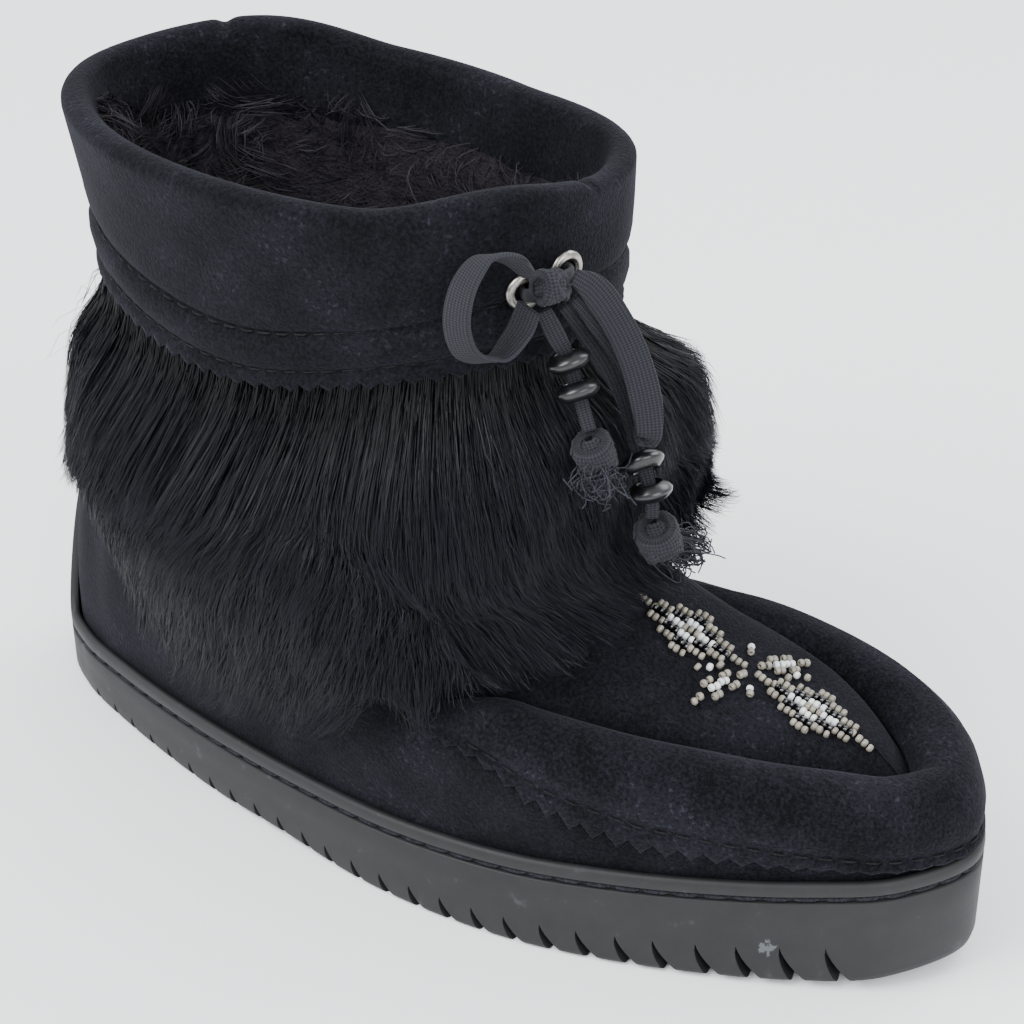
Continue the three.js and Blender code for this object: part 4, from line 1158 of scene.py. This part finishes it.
def make_band():
    size = sizes()
    front = TURNS[(ROUND.x > BAND_START) & (TURNS > 0)]
    first, last = front[0], front[-1]
    edge = SeamLine(lambda t: band_row(t, 0.0), BAND_GAP, first, last)
    teeth = round(edge.length / (1.2 * size.tooth_pitch))
    distance = np.linspace(0, edge.length, teeth * 8 + 1)
    turns = edge.turn(distance)
    wave = tooth_wave(distance, edge.length / teeth)
    taper = smooth(np.minimum(distance, edge.length - distance), 0, 26)
    swell = 0.25 * np.sin(distance / 7.3) * np.sin(distance / 17.1 + 1)
    grid = []
    for part, lift in BAND_PROFILE:
        fade = max(0, 1 - part / BAND_PINKED)
        row = band_row(turns, part) - BAND_ROW_PER_MM * size.tooth_height * (wave - 0.5) * fade
        curl = 0.35 * (wave - 0.3) * fade
        grid.append(SKIN.at(row, turns, 0.25 + (lift + swell * part + curl) * (0.25 + 0.75 * taper)))
    for part in (0.75, 0.5, 0.25):
        grid.append(SKIN.at(band_row(turns, part), turns, 0.15))
    faces = looped_quads(len(grid), len(turns), ring=False)
    material = suede("band_suede", dark_part=0.95, light_part=1.15)
    settle(mesh_piece("apron_band_suede", grid, faces, material), "band_suede", "apron_band")
    sewn = thread("suede_thread", (0.003, 0.003, 0.0035), (0.012, 0.0115, 0.013))
    line = SeamLine(lambda t: band_row(t, BAND_STITCH_PART), BAND_STITCH_LIFT, first + 0.02, last - 0.02)
    points, faces = stitches(line, pitch=5.4, length=3.6, radius=0.28, rise=0.16, twist=5.0)
    settle(mesh_piece("band_stitches", points, faces, sewn), "band_suede")


# ---- Collar cuff ----
CUFF_PROFILE = [
    # millimetres up from the tips of the teeth, lift
    (0, 1.5), (0, 2.3), (0.1, 2.9), (1.2, 3.0), (2.6, 2.7), (3.5, 2.1), (4.0, 1.7), (4.6, 2.1), (6, 3.0),
    (8.5, 3.4), (11, 3.1), (12.6, 2.2), (13.4, 1.3), (14.2, 2.0), (16, 2.5), (19, 2.6),
]
CUFF_CREASES = [
    # turn, row, half width in turns, half height in rows, lift
    (0.2, 15.2, 0.05, 1.2, -1.0),
    (0.29, 15.6, 0.04, 1.4, 0.6),
    (0.36, 14.6, 0.035, 1.3, -0.8),
    (0.12, 14.8, 0.04, 1.5, -0.7),
    (0.07, 14.2, 0.02, 1.6, 0.5),
    (0.62, 15, 0.05, 1.4, -0.7),
    (0.8, 14.8, 0.06, 1.4, 0.6),
]
CUFF_LIFT, CUFF_INNER, CUFF_CROWN = 2.5, 4.9, 2.9
# turn, half width in turns and depth of the dents in the rim
CUFF_DENTS = [(0.897, 0.006, 1.3), (0.5, 0.008, 1.1)]
ROW_PER_MM = 1 / 15.0
# millimetres up from the teeth and lift of each row of stitches
STITCH_ROWS = [(4.0, 1.8), (13.4, 1.4)]


def cuff_edge(turn):
    """Row of the tips of the cuff's teeth."""
    return periodic(TURNS, CUFF_EDGE_ROW, turn)


def make_cuff():
    size = sizes()
    line = SeamLine(cuff_edge, 1.0)
    teeth = round(line.length / (1.04 * size.tooth_pitch))
    distance = np.arange(teeth * 8) * line.length / (teeth * 8)
    turns = line.turn(distance)
    wave = tooth_wave(distance, line.length / teeth)
    edge = cuff_edge(turns)
    soft = 0.35 * np.sin(distance / 19.0) * np.sin(distance / 31.0 + 2)
    grid = []
    for up, lift in CUFF_PROFILE:
        fade = max(0.0, 1 - up / 2.4)
        row = edge + ROW_PER_MM * (up - size.tooth_height * 0.8 * (wave - 0.5) * fade)
        curl = 0.4 * np.sin(distance / 8.7) * wave * fade
        grid.append(SKIN.at(row, turns, lift + curl + creases(CUFF_CREASES, row, turns) * min(1, up / 12)))
    top = edge + ROW_PER_MM * CUFF_PROFILE[-1][0]
    for part in np.linspace(0.1, 1, 22):
        row = mix(top, LAST_ROW, part)
        grid.append(SKIN.at(row, turns, CUFF_LIFT + soft * part + creases(CUFF_CREASES, row, turns)))
    rim, normal = SKIN.at(LAST_ROW, turns), SKIN.normal(LAST_ROW, turns)
    out, above = unit(normal * (1, 1, 0)), np.array([0, 0, 1])
    middle, half = 0.5 * (CUFF_LIFT - CUFF_INNER), 0.5 * (CUFF_LIFT + CUFF_INNER)
    dent = sum(depth * np.exp(-(((turns - at) / width) ** 2)) for at, width, depth in CUFF_DENTS)
    for angle in np.linspace(0, np.pi, 13)[1:-1]:
        across = middle + (half + soft) * np.cos(angle)
        grid.append(rim + out * across[:, None] + np.outer(np.sin(angle) * (CUFF_CROWN - dent + soft), above))
    deep = CUFF_FOLD * ROW_PER_MM
    for part in np.linspace(0, 1, 10):
        row = LAST_ROW - deep * part
        grid.append(SKIN.at(row, turns, -CUFF_INNER - 0.3 * np.sin(distance / 23.0) * part))
    grid.append(SKIN.at(LAST_ROW - deep, turns, -WALL - 0.6))
    for row in (LAST_ROW - 0.6, LAST_ROW):
        grid.append(SKIN.at(row, turns, -WALL - 0.35))
    grid.append(rim + 0.4 * above)
    for row in (LAST_ROW, LAST_ROW - 1, LAST_ROW - 2):
        grid.append(SKIN.at(row, turns, 0.35))
    faces = looped_quads(len(grid), len(turns))
    material = suede("cuff_suede", dark_part=0.9, light_part=0.95)
    settle(mesh_piece("collar_cuff_suede", grid, faces, material), "cuff_suede", "collar_cuff")
    sewn = thread("cuff_thread", (0.003, 0.003, 0.0035), (0.013, 0.0125, 0.014))
    rows = []
    for up, lift in STITCH_ROWS:
        seam = SeamLine(lambda t, up=up: cuff_edge(t) + ROW_PER_MM * up, lift)
        rows.append(stitches(seam, pitch=5.0, length=3.4, radius=0.26, rise=0.15, twist=5.0))
    points, faces = joined_meshes(rows)
    settle(mesh_piece("cuff_stitches", points, faces, sewn), "cuff_suede")


# ---- Fur ----
# columns round the bodies of the fur and the lining
SOFT_COLUMNS = 200
SOFT_TURNS = np.arange(SOFT_COLUMNS) / SOFT_COLUMNS
# how far the longest hairs pass the fur's edge, and the points of a hair
FRINGE, HAIR_STEPS = 11.0, 5
# part of the fur's lift at which its undercoat lies
UNDERCOAT_PART = 0.66


def fur_row(turn, part):
    """Row of the fur at a part of the way from the cuff's edge down to the fur's own."""
    return mix(cuff_edge(turn) - 0.12, np.interp(outline_x(turn), *zip(*FUR_EDGE)), part)


def leg_bump(turn, size, leg, half):
    """A rise centred on one angle round the leg."""
    off = np.abs((periodic(TURNS, np.unwrap(ROUND.leg), turn) - leg + np.pi) % (2 * np.pi) - np.pi)
    return size * smooth(half - off, 0, half)


def fur_lift(part, turn):
    """Height of the fur's outside over the upper; it grows from nothing under the cuff's edge."""
    even = np.interp(part, np.linspace(0, 1, len(FUR_LIFTS)), FUR_LIFTS) * smooth(part, -0.02, 0.2)
    even = even * (1 - leg_bump(turn, *FUR_FLAT) + leg_bump(turn, *FUR_FULL))
    even = even + leg_bump(turn, *FUR_FLARE) * smooth(part, 0.3, 0.95)
    even = even + leg_bump(turn, *FUR_HEEL) * smooth(part, -0.02, 0.25) * smooth(-part, -1.0, -0.45)
    lumps = 1 + 0.10 * np.sin(2 * np.pi * (5 * turn + 0.2)) * np.sin(3.1 * part + 9 * turn)
    return even * (lumps + 0.06 * np.sin(2 * np.pi * 13 * turn + 7 * part))


def strips(paths, outward, width, roll):
    """Flat tapering strips along paths (count, steps, 3), standing roughly in the plane of the surface."""
    tangent = unit(np.gradient(paths, axis=1))
    side = unit(np.cross(tangent, outward[:, None]))
    other = np.cross(side, tangent)
    side = side * np.cos(roll)[:, None, None] + other * np.sin(roll)[:, None, None]
    steps = paths.shape[1]
    half = 0.5 * width[:, None, None] * np.linspace(1, 0.45, steps)[None, :, None]
    pairs = np.stack([paths - side * half, paths + side * half], 2)[:, :-1].reshape(len(paths), -1, 3)
    points = np.concatenate([pairs, paths[:, -1:]], 1)
    per = points.shape[1]
    base = (np.arange(len(paths)) * per)[:, None]
    four = np.concatenate([base + [2 * k, 2 * k + 1, 2 * k + 3, 2 * k + 2] for k in range(steps - 2)])
    three = base + [per - 3, per - 2, per - 1]
    along = np.repeat(np.linspace(0, 1, steps), 2)[:-1]
    return points, [four, three], np.tile(along, len(paths))


def clumped(roots, paths, rng, share, pull, tightness):
    """Draws each path's free end towards that of the leader rooted nearest, and gives the leaders too."""
    leaders = rng.choice(len(roots), max(8, int(len(roots) * share)), replace=False)
    tree = KDTree(len(leaders))
    for k, index in enumerate(leaders):
        tree.insert(Vector(roots[index]), k)
    tree.balance()
    nearest = leaders[[tree.find(Vector(root))[1] for root in roots]]
    weight = (np.linspace(0, 1, paths.shape[1]) ** tightness)[None, :, None] * pull[:, None, None]
    beside = paths[nearest] - roots[nearest][:, None] + roots[:, None]
    return mix(paths, mix(beside, paths[nearest], 0.8), weight), nearest


def fur_paths(count, rng, length):
    """Hairs rooted all round the shaft, lying down over the fur's rounded body."""
    turn = rng.random(count)
    low, top = fur_row(turn, 1.0), fur_row(turn, 0.0)
    height = np.linalg.norm(SKIN.at(top, turn) - SKIN.at(low, turn), axis=-1)
    reach = length * rng.uniform(0.7, 1.15, count)
    fall = reach / np.maximum(height, 20)
    past = FRINGE * rng.random(count) ** 1.6 / np.maximum(height, 20)
    part = -0.06 + (1.06 + past - 0.75 * fall) * rng.random(count) ** 0.9
    part = np.minimum(part, 1 + past - 0.4 * fall)
    drift = 0.010 * np.sin(2 * np.pi * (turn * 3 + 0.1)) + rng.normal(0, 0.0035, count)
    clear = np.where((outline_x(turn) > BAND_START - 10) & (low < 8), 4.5, 1.5)
    stand = rng.normal(0, 1.0, count)
    paths = []
    for s in np.linspace(0, 1, HAIR_STEPS):
        at = np.minimum(part + fall * s, 1 + past * (0.4 + 0.6 * s))
        inside = np.minimum(at, 1.0)
        row = fur_row(turn, inside)
        lift = clear * smooth(at, 0.5, 1) + fur_lift(inside, turn)
        depth = 0.5 + 0.5 * s**0.6
        point = SKIN.at(row, turn + drift * s, 0.6 + lift * depth + stand * s * smooth(at, 0, 0.2))
        over = np.maximum(at - 1.0, 0) * height
        down = unit(SKIN.at(row - 0.3, turn, lift) - SKIN.at(row, turn, lift))
        paths.append(point + down * over[:, None] + SKIN.normal(row, turn) * (0.10 * over)[:, None])
    return turn, part, np.stack(paths, 1)


def make_fur():
    size, root, tip = sizes(), tuple(colours().fur_root), tuple(colours().fur_tip_sheen)
    # the tip colour paints the fur's bluish sheen along each hair
    body, coat = fleece("fur_body", shade(root, 0.6), root), hair("fur", root, tip, roughness=0.42)
    grid = []
    for part in np.linspace(0, 1, 26):
        lift = 0.5 + UNDERCOAT_PART * fur_lift(part, SOFT_TURNS) * smooth(1.04 - part, 0, 0.12)
        grid.append(SKIN.at(fur_row(SOFT_TURNS, part), SOFT_TURNS, lift))
    for part in (1.0, 0.6, 0.3, 0.0):
        grid.append(SKIN.at(fur_row(SOFT_TURNS, part), SOFT_TURNS, 0.4))
    faces = looped_quads(len(grid), SOFT_COLUMNS)[:, ::-1]
    settle(mesh_piece("fur_undercoat", grid, faces, body), "fur", "fur_cuff")
    rng = np.random.default_rng(11)
    count = size.hair_count
    turn, part, paths = fur_paths(count, rng, size.hair_length)
    pull = rng.uniform(0.2, 0.7, count)
    paths, leader = clumped(paths[:, 0], paths, rng, share=0.05, pull=pull, tightness=1.5)
    wander = rng.normal(0, 0.35, (count, HAIR_STEPS, 3))
    paths = paths + wander * np.linspace(0, 1, HAIR_STEPS)[None, :, None]
    tones = clamp(0.5 * rng.random(count) + 0.5 * np.random.default_rng(4).random(count)[leader], 0, 1)
    outward = SKIN.normal(fur_row(turn, clamp(part, 0, 1)), turn)
    width = size.hair_width * rng.uniform(0.7, 1.3, count)
    roll = rng.normal(0, 0.7, count)
    names = ("fur_hair_front", "fur_hair_middle", "fur_hair_heel")
    for name, chosen in zip(names, np.array_split(np.argsort(np.abs(turn - 0.5)), 3)):
        points, faces, along = strips(paths[chosen], outward[chosen], width[chosen], roll[chosen])
        values = {"along": along, "tone": np.repeat(tones[chosen], points.shape[1])}
        settle(mesh_piece(name, points, faces, coat, values), "fur")


# ---- Lining ----
# millimetres from the rim down to the pile's start, and at the heel's outer side
LINING_EDGE, LINING_EDGE_HEEL = 15.0, 4.0
PILE_WIDTH = 0.34


def lining_top(turn):
    """Row at which the pile starts: under the cuff's fold, and up to the rim on the heel's outer side."""
    near_rim = np.exp(-((((np.asarray(turn) - 0.06 + 0.5) % 1 - 0.5) / 0.05) ** 2))
    return LAST_ROW - ROW_PER_MM * mix(LINING_EDGE, LINING_EDGE_HEEL, near_rim)


def make_lining():
    size = sizes()
    base = fleece("lining_fleece", (0.010, 0.0085, 0.011), (0.022, 0.019, 0.024))
    pile = hair("lining_pile", (0.011, 0.0095, 0.012), (0.036, 0.031, 0.040), roughness=0.6)
    low = 1 + 8.5 * smooth(outline_x(SOFT_TURNS), 130, 170)
    grid = []
    for part in np.linspace(0, 1, 40):
        row = mix(lining_top(SOFT_TURNS), low, part)
        lumps = 0.5 * np.sin(37 * SOFT_TURNS * 2 * np.pi + 11 * part) * np.sin(60 * part)
        sink = mix(CUFF_INNER + 0.5, WALL + 1.6, smooth(part, 0.08, 0.3)) - 1.2 * (part == 0)
        grid.append(SKIN.at(row, SOFT_TURNS, -sink - lumps * 0.4))
    settle(mesh_piece("lining_fleece_wall", grid, quads(len(grid), SOFT_COLUMNS), base), "fur")
    rng = np.random.default_rng(29)
    count = size.pile_count
    turn = rng.random(count)
    top = lining_top(turn)
    row = mix(top, 8.5, rng.random(count) ** 1.15)
    root = SKIN.at(row, turn, -mix(CUFF_INNER + 0.2, WALL + 1.2, smooth(top - row, 0.4, 1.6)))
    normal = -SKIN.normal(row, turn)
    up = unit(SKIN.at(row + 0.2, turn) - SKIN.at(row - 0.2, turn))
    side = np.cross(up, normal)
    swirl = 2 * np.pi * (0.5 + 0.5 * np.sin(9 * turn * 2 * np.pi + 1.7 * row) * np.sin(2.3 * row + 5 * turn))
    lie = up * np.sin(swirl)[:, None] * 0.8 + side * np.cos(swirl)[:, None] + rng.normal(0, 0.35, (count, 3))
    reach = rng.uniform(8, 12, count)[:, None]
    paths = np.stack([
        root + normal * reach * (0.55 * s - 0.2 * s * s) + lie * reach * 0.75 * s**1.5
        for s in np.linspace(0, 1, 4)
    ], 1)
    pull = rng.uniform(0.3, 0.9, count)
    paths, leader = clumped(paths[:, 0], paths, rng, share=0.04, pull=pull, tightness=1.2)
    tones = clamp(0.5 * rng.random(count) + 0.5 * np.random.default_rng(6).random(count)[leader], 0, 1)
    width, roll = PILE_WIDTH * rng.uniform(0.7, 1.3, count), rng.normal(0, 0.8, count)
    points, faces, along = strips(paths, normal, width, roll)
    values = {"along": along, "tone": np.repeat(tones, points.shape[1])}
    settle(mesh_piece("lining_tufts", points, faces, pile, values), "fur")
    edge = LIP_THICKNESS + SEAT_GAP + WALL + 0.5
    c = Columns(SOFT_TURNS)
    profile = ((0.6, 0), (0, 0.6), (0, INSOLE_THICKNESS - 0.5), (0.8, INSOLE_THICKNESS))
    rings = [c.inset(edge + inset, floor_height(c.x) + FIT_GAP + lift) for inset, lift in profile]
    faces = [quads(len(rings), SOFT_COLUMNS)]
    faces += strip_caps(SOFT_COLUMNS, 0, flip=True) + strip_caps(SOFT_COLUMNS, 3 * SOFT_COLUMNS)
    settle(mesh_piece("insole_fleece", rings, faces, base), "insole_felt", "insole")


# ---- Seed bead flower ----
FLOWER_PETALS = [
    # start on the foot's axis (x, y), end, half width
    ((214.2, 4.5), (242.5, 4.9), 7.0),
    ((208.4, 4.6), (181.8, 2.2), 7.7),
]
FLOWER_BARS = [
    # start, tip of the side petals
    ((210.6, 1.3), (206.1, -11.5)),
    ((213.0, 8.7), (218.3, 18.2)),
]
FLOWER_PAIRS = [((206.4, 13.0), (208.7, 8.9)), ((213.8, 0.1), (215.6, -2.9))]
FLOWER_TRIPLES = [((202, -4.8), (204, -2.5), (205.8, -0.5)), ((218.5, 9.8), (219.7, 12.6), (221.5, 13.9))]
GREIGE, WHITE, BLACK = "greige", "white", "black"
BEAD_GLASS = {
    # colour, its darker end, roughness, coat
    GREIGE: ((0.27, 0.25, 0.205), (0.17, 0.155, 0.125), 0.36, 0.25),
    WHITE: ((0.74, 0.74, 0.74), (0.60, 0.61, 0.62), 0.3, 0.3),
    BLACK: ((0.004, 0.004, 0.006), (0.002, 0.002, 0.003), 0.12, 0.7),
}
PETAL_NODES = ("bead_petal_toe", "bead_petal_ankle", "bead_petal_outer", "bead_petal_inner")
# height from which the beads are dropped onto the apron
OVER_THE_TOE = 90.0


def axes(start, end):
    """Middle, direction, sideways direction and half length of the line from start to end."""
    start, end = np.array(start), np.array(end)
    axis = unit(end - start)
    return 0.5 * (start + end), axis, np.array([-axis[1], axis[0]]), 0.5 * np.linalg.norm(end - start)


def flower_chart(step):
    """Every seed bead of the flower as (x, y, direction, colour)."""
    beads = []

    def group(centre, direction, colour, count):
        for k in range(count):
            beads.append((*(centre + direction * step * (k - (count - 1) / 2)), direction, colour))

    for *ends, half_width in FLOWER_PETALS:
        middle, axis, side, half = axes(*ends)
        for size in (4, 3):
            for i, j in product(range(size), repeat=2):
                spot = middle + axis * (i + j - size + 1) / 3 * (half - 1.2) + side * (i - j) / 3 * half_width
                if size == 4:
                    border, tip = {i, j} & {0, 3}, abs(i + j - 3) == 3
                    group(spot, axis, GREIGE if border else WHITE, 4 if tip else 3)
                else:
                    group(spot, axis, GREIGE if i == j == 1 else BLACK, 3)
    for start, tip in FLOWER_BARS:
        middle, axis, side, half = axes(start, tip)
        group(middle, axis, WHITE, 4)
        group(start, axis, GREIGE, 2)
        group(tip, axis, GREIGE, 2)
        for sign, (part, off) in product((-1, 1), ((0.28, 1.9), (0.66, 2.0))):
            group(start + axis * 2 * half * part + side * off * sign, axis, GREIGE, 2)
    for pair in FLOWER_PAIRS:
        middle, axis, _, _ = axes(*pair)
        beads.append((*(middle - axis * 0.75), axis, WHITE))
        beads.append((*(middle + axis * 0.75), axis, GREIGE))
    for triple in FLOWER_TRIPLES:
        for spot, colour in zip(triple, (GREIGE, WHITE, GREIGE)):
            beads.append((*spot, np.array([1.0, 0.0]), colour))
    return beads


def make_flower(upper):
    width = sizes().bead_width
    tree = BVHTree.FromObject(upper, bpy.context.evaluated_depsgraph_get())
    rng = np.random.default_rng(17)
    groups = {colour: [] for colour in BEAD_GLASS}
    turn = np.linspace(0, 2 * np.pi, 9)
    profile = width * np.column_stack([0.31 + 0.19 * np.cos(turn), 0.34 * np.sin(turn)])
    for x, y, direction, colour in flower_chart(0.74 * width):
        x, y = x + rng.normal(0, 0.12), y + rng.normal(0, 0.12)
        hit, normal, _, _ = tree.ray_cast(Vector(place([x, y, OVER_THE_TOE])), Vector((0, 0, -1)))
        if hit is None:
            raise RuntimeError("a seed bead misses the apron")
        normal = np.array(normal if normal.z > 0 else -normal)
        along = np.array([*direction, 0.0])
        along = along - normal * (along @ normal) + rng.normal(0, 0.08, 3)
        centre = np.array(hit) / MM + np.array([HEEL_CENTRE, 0, 0]) + normal * 0.47 * width
        groups[colour].append(lathe(profile * rng.uniform(0.92, 1.07), centre, along, 10))
    for colour, parts in groups.items():
        glass = glaze(f"seed_bead_{colour}", *BEAD_GLASS[colour])
        beads = mesh_piece(f"seed_beads_{colour}", *joined_meshes(parts), glass)
        settle(beads, "seed_beads", *(PETAL_NODES if colour == GREIGE else ()))


# ---- Eyelets and the tie's bar ----
EYELETS = [("eyelet_inner", (166.6, -8.8, 161.4)), ("eyelet_outer", (162.4, -18.4, 158.5))]
EYELET_HOLE, EYELET_OUTER = 2.3, 4.5


def eyelet_spot(spot):
    """Where an eyelet sits on the cuff: its middle and the way that it faces."""
    x, y, z = spot
    turns = np.linspace(0.35, 0.65, 1501)
    row = np.interp(turns, turns[::50], SKIN.row_at(turns[::50], z))
    points = SKIN.at(row, turns, CUFF_LIFT)
    i = int(np.argmin(np.abs(points[:, 1] - y) + 0.2 * np.abs(points[:, 0] - x)))
    return points[i], SKIN.normal(row[i], turns[i])


def make_eyelets():
    metal = gunmetal()
    ring = 0.5 * (EYELET_OUTER - EYELET_HOLE)
    turn = np.linspace(0, 2 * np.pi, 15)
    profile = np.column_stack([EYELET_HOLE + ring + ring * np.cos(turn), np.sin(turn) + 0.55])
    spots = [eyelet_spot(spot) for _, spot in EYELETS]
    for (name, _), (middle, out) in zip(EYELETS, spots):
        points, faces = lathe(profile, middle, out, 36)
        settle(mesh_piece(name + "_metal", points, faces, metal), "eyelet_metal", name)
    (inner, out_inner), (outer, out_outer) = spots
    weave = bpy.data.materials["lace_cotton"]
    middle = 0.5 * (inner + out_inner * 3.4 + outer + out_outer * 3.4) + 0.6 * out_outer
    table = np.array([
        [*(inner - out_inner * 1.6), 0.42], [*(inner + out_inner * 2.2), 0.42], [*middle, 0.8],
        [*(outer + out_outer * 2.2), 0.42], [*(outer - out_outer * 1.6), 0.42],
    ])
    path = open_curve(table, 50)
    up = np.array([0, 0, 1.0])
    rings, faces, uv = tube(
        path[:, :3], LACE_WIDTH * path[:, 3], LACE_THICKNESS, lambda t: up - t * (t @ up)[:, None], sides=12
    )
    settle(mesh_piece("lace_bar_cotton", rings, faces, weave, uv=uv), "lace_cotton", "lace_bar")


# ---- Operators, panel and the making of the boot ----
class MUKLUK_OT_stage(bpy.types.Operator):
    """Set up the camera, the soft light and the pale floor"""

    bl_idname = "mukluk.stage"
    bl_label = "Camera, light and floor"

    def execute(self, context):
        make_camera()
        make_stage()
        return {"FINISHED"}


class MUKLUK_OT_lace(bpy.types.Operator):
    """Tie the flat lace with its loops, knots and glass beads"""

    bl_idname = "mukluk.lace"
    bl_label = "Lace, knots and glass beads"

    def execute(self, context):
        make_lace()
        return {"FINISHED"}


class MUKLUK_OT_sole(bpy.types.Operator):
    """Mould the rubber cup sole and sew its groove"""

    bl_idname = "mukluk.sole"
    bl_label = "Rubber sole"

    def execute(self, context):
        make_sole()
        return {"FINISHED"}


class MUKLUK_OT_upper(bpy.types.Operator):
    """Lay the suede over the last"""

    bl_idname = "mukluk.upper"
    bl_label = "Suede upper"

    def execute(self, context):
        make_upper()
        return {"FINISHED"}


class MUKLUK_OT_band(bpy.types.Operator):
    """Fold the moccasin band round the toe with its pinked edge"""

    bl_idname = "mukluk.band"
    bl_label = "Moccasin band"

    def execute(self, context):
        make_band()
        return {"FINISHED"}


class MUKLUK_OT_cuff(bpy.types.Operator):
    """Fold the suede cuff over the rim and stitch it"""

    bl_idname = "mukluk.cuff"
    bl_label = "Collar cuff"

    def execute(self, context):
        make_cuff()
        return {"FINISHED"}


class MUKLUK_OT_eyelets(bpy.types.Operator):
    """Set the eyelets and pass the lace's bar through them"""

    bl_idname = "mukluk.eyelets"
    bl_label = "Eyelets and lace bar"

    def execute(self, context):
        make_eyelets()
        return {"FINISHED"}


class MUKLUK_OT_flower(bpy.types.Operator):
    """Sew the seed bead flower on the apron"""

    bl_idname = "mukluk.flower"
    bl_label = "Seed bead flower"

    def execute(self, context):
        make_flower(bpy.data.objects["upper_suede_shell"])
        return {"FINISHED"}


class MUKLUK_OT_lining(bpy.types.Operator):
    """Line the shaft with pile and lay in the insole"""

    bl_idname = "mukluk.lining"
    bl_label = "Lining and insole"

    def execute(self, context):
        make_lining()
        return {"FINISHED"}


class MUKLUK_OT_fur(bpy.types.Operator):
    """Grow the fur that hangs from under the cuff"""

    bl_idname = "mukluk.fur"
    bl_label = "Fur"

    def execute(self, context):
        make_fur()
        return {"FINISHED"}


STEPS = (
    MUKLUK_OT_stage, MUKLUK_OT_lace, MUKLUK_OT_sole, MUKLUK_OT_upper, MUKLUK_OT_band, MUKLUK_OT_cuff,
    MUKLUK_OT_eyelets, MUKLUK_OT_flower, MUKLUK_OT_lining, MUKLUK_OT_fur,
)


class MUKLUK_PT_panel(bpy.types.Panel):
    """The boot's pieces, in the order in which they are made"""

    bl_idname = "MUKLUK_PT_panel"
    bl_label = "Mukluk boot"
    bl_space_type = "VIEW_3D"
    bl_region_type = "UI"
    bl_category = "Mukluk"

    def draw(self, context):
        for group in (context.scene.mukluk_sizes, context.scene.mukluk_colours):
            box = self.layout.box()
            for name in group.__annotations__:
                box.prop(group, name)
        for step in STEPS:
            self.layout.operator(step.bl_idname)


CLASSES = (MuklukSizes, MuklukColours, *STEPS, MUKLUK_PT_panel)


def register():
    for cls in CLASSES:
        bpy.utils.register_class(cls)
    bpy.types.Scene.mukluk_sizes = PointerProperty(type=MuklukSizes)
    bpy.types.Scene.mukluk_colours = PointerProperty(type=MuklukColours)


def unregister():
    del bpy.types.Scene.mukluk_colours
    del bpy.types.Scene.mukluk_sizes
    for cls in reversed(CLASSES):
        bpy.utils.unregister_class(cls)


def main():
    register()
    for step in STEPS:
        group, name = step.bl_idname.split(".")
        getattr(getattr(bpy.ops, group), name)()


if __name__ == "__main__":
    main()
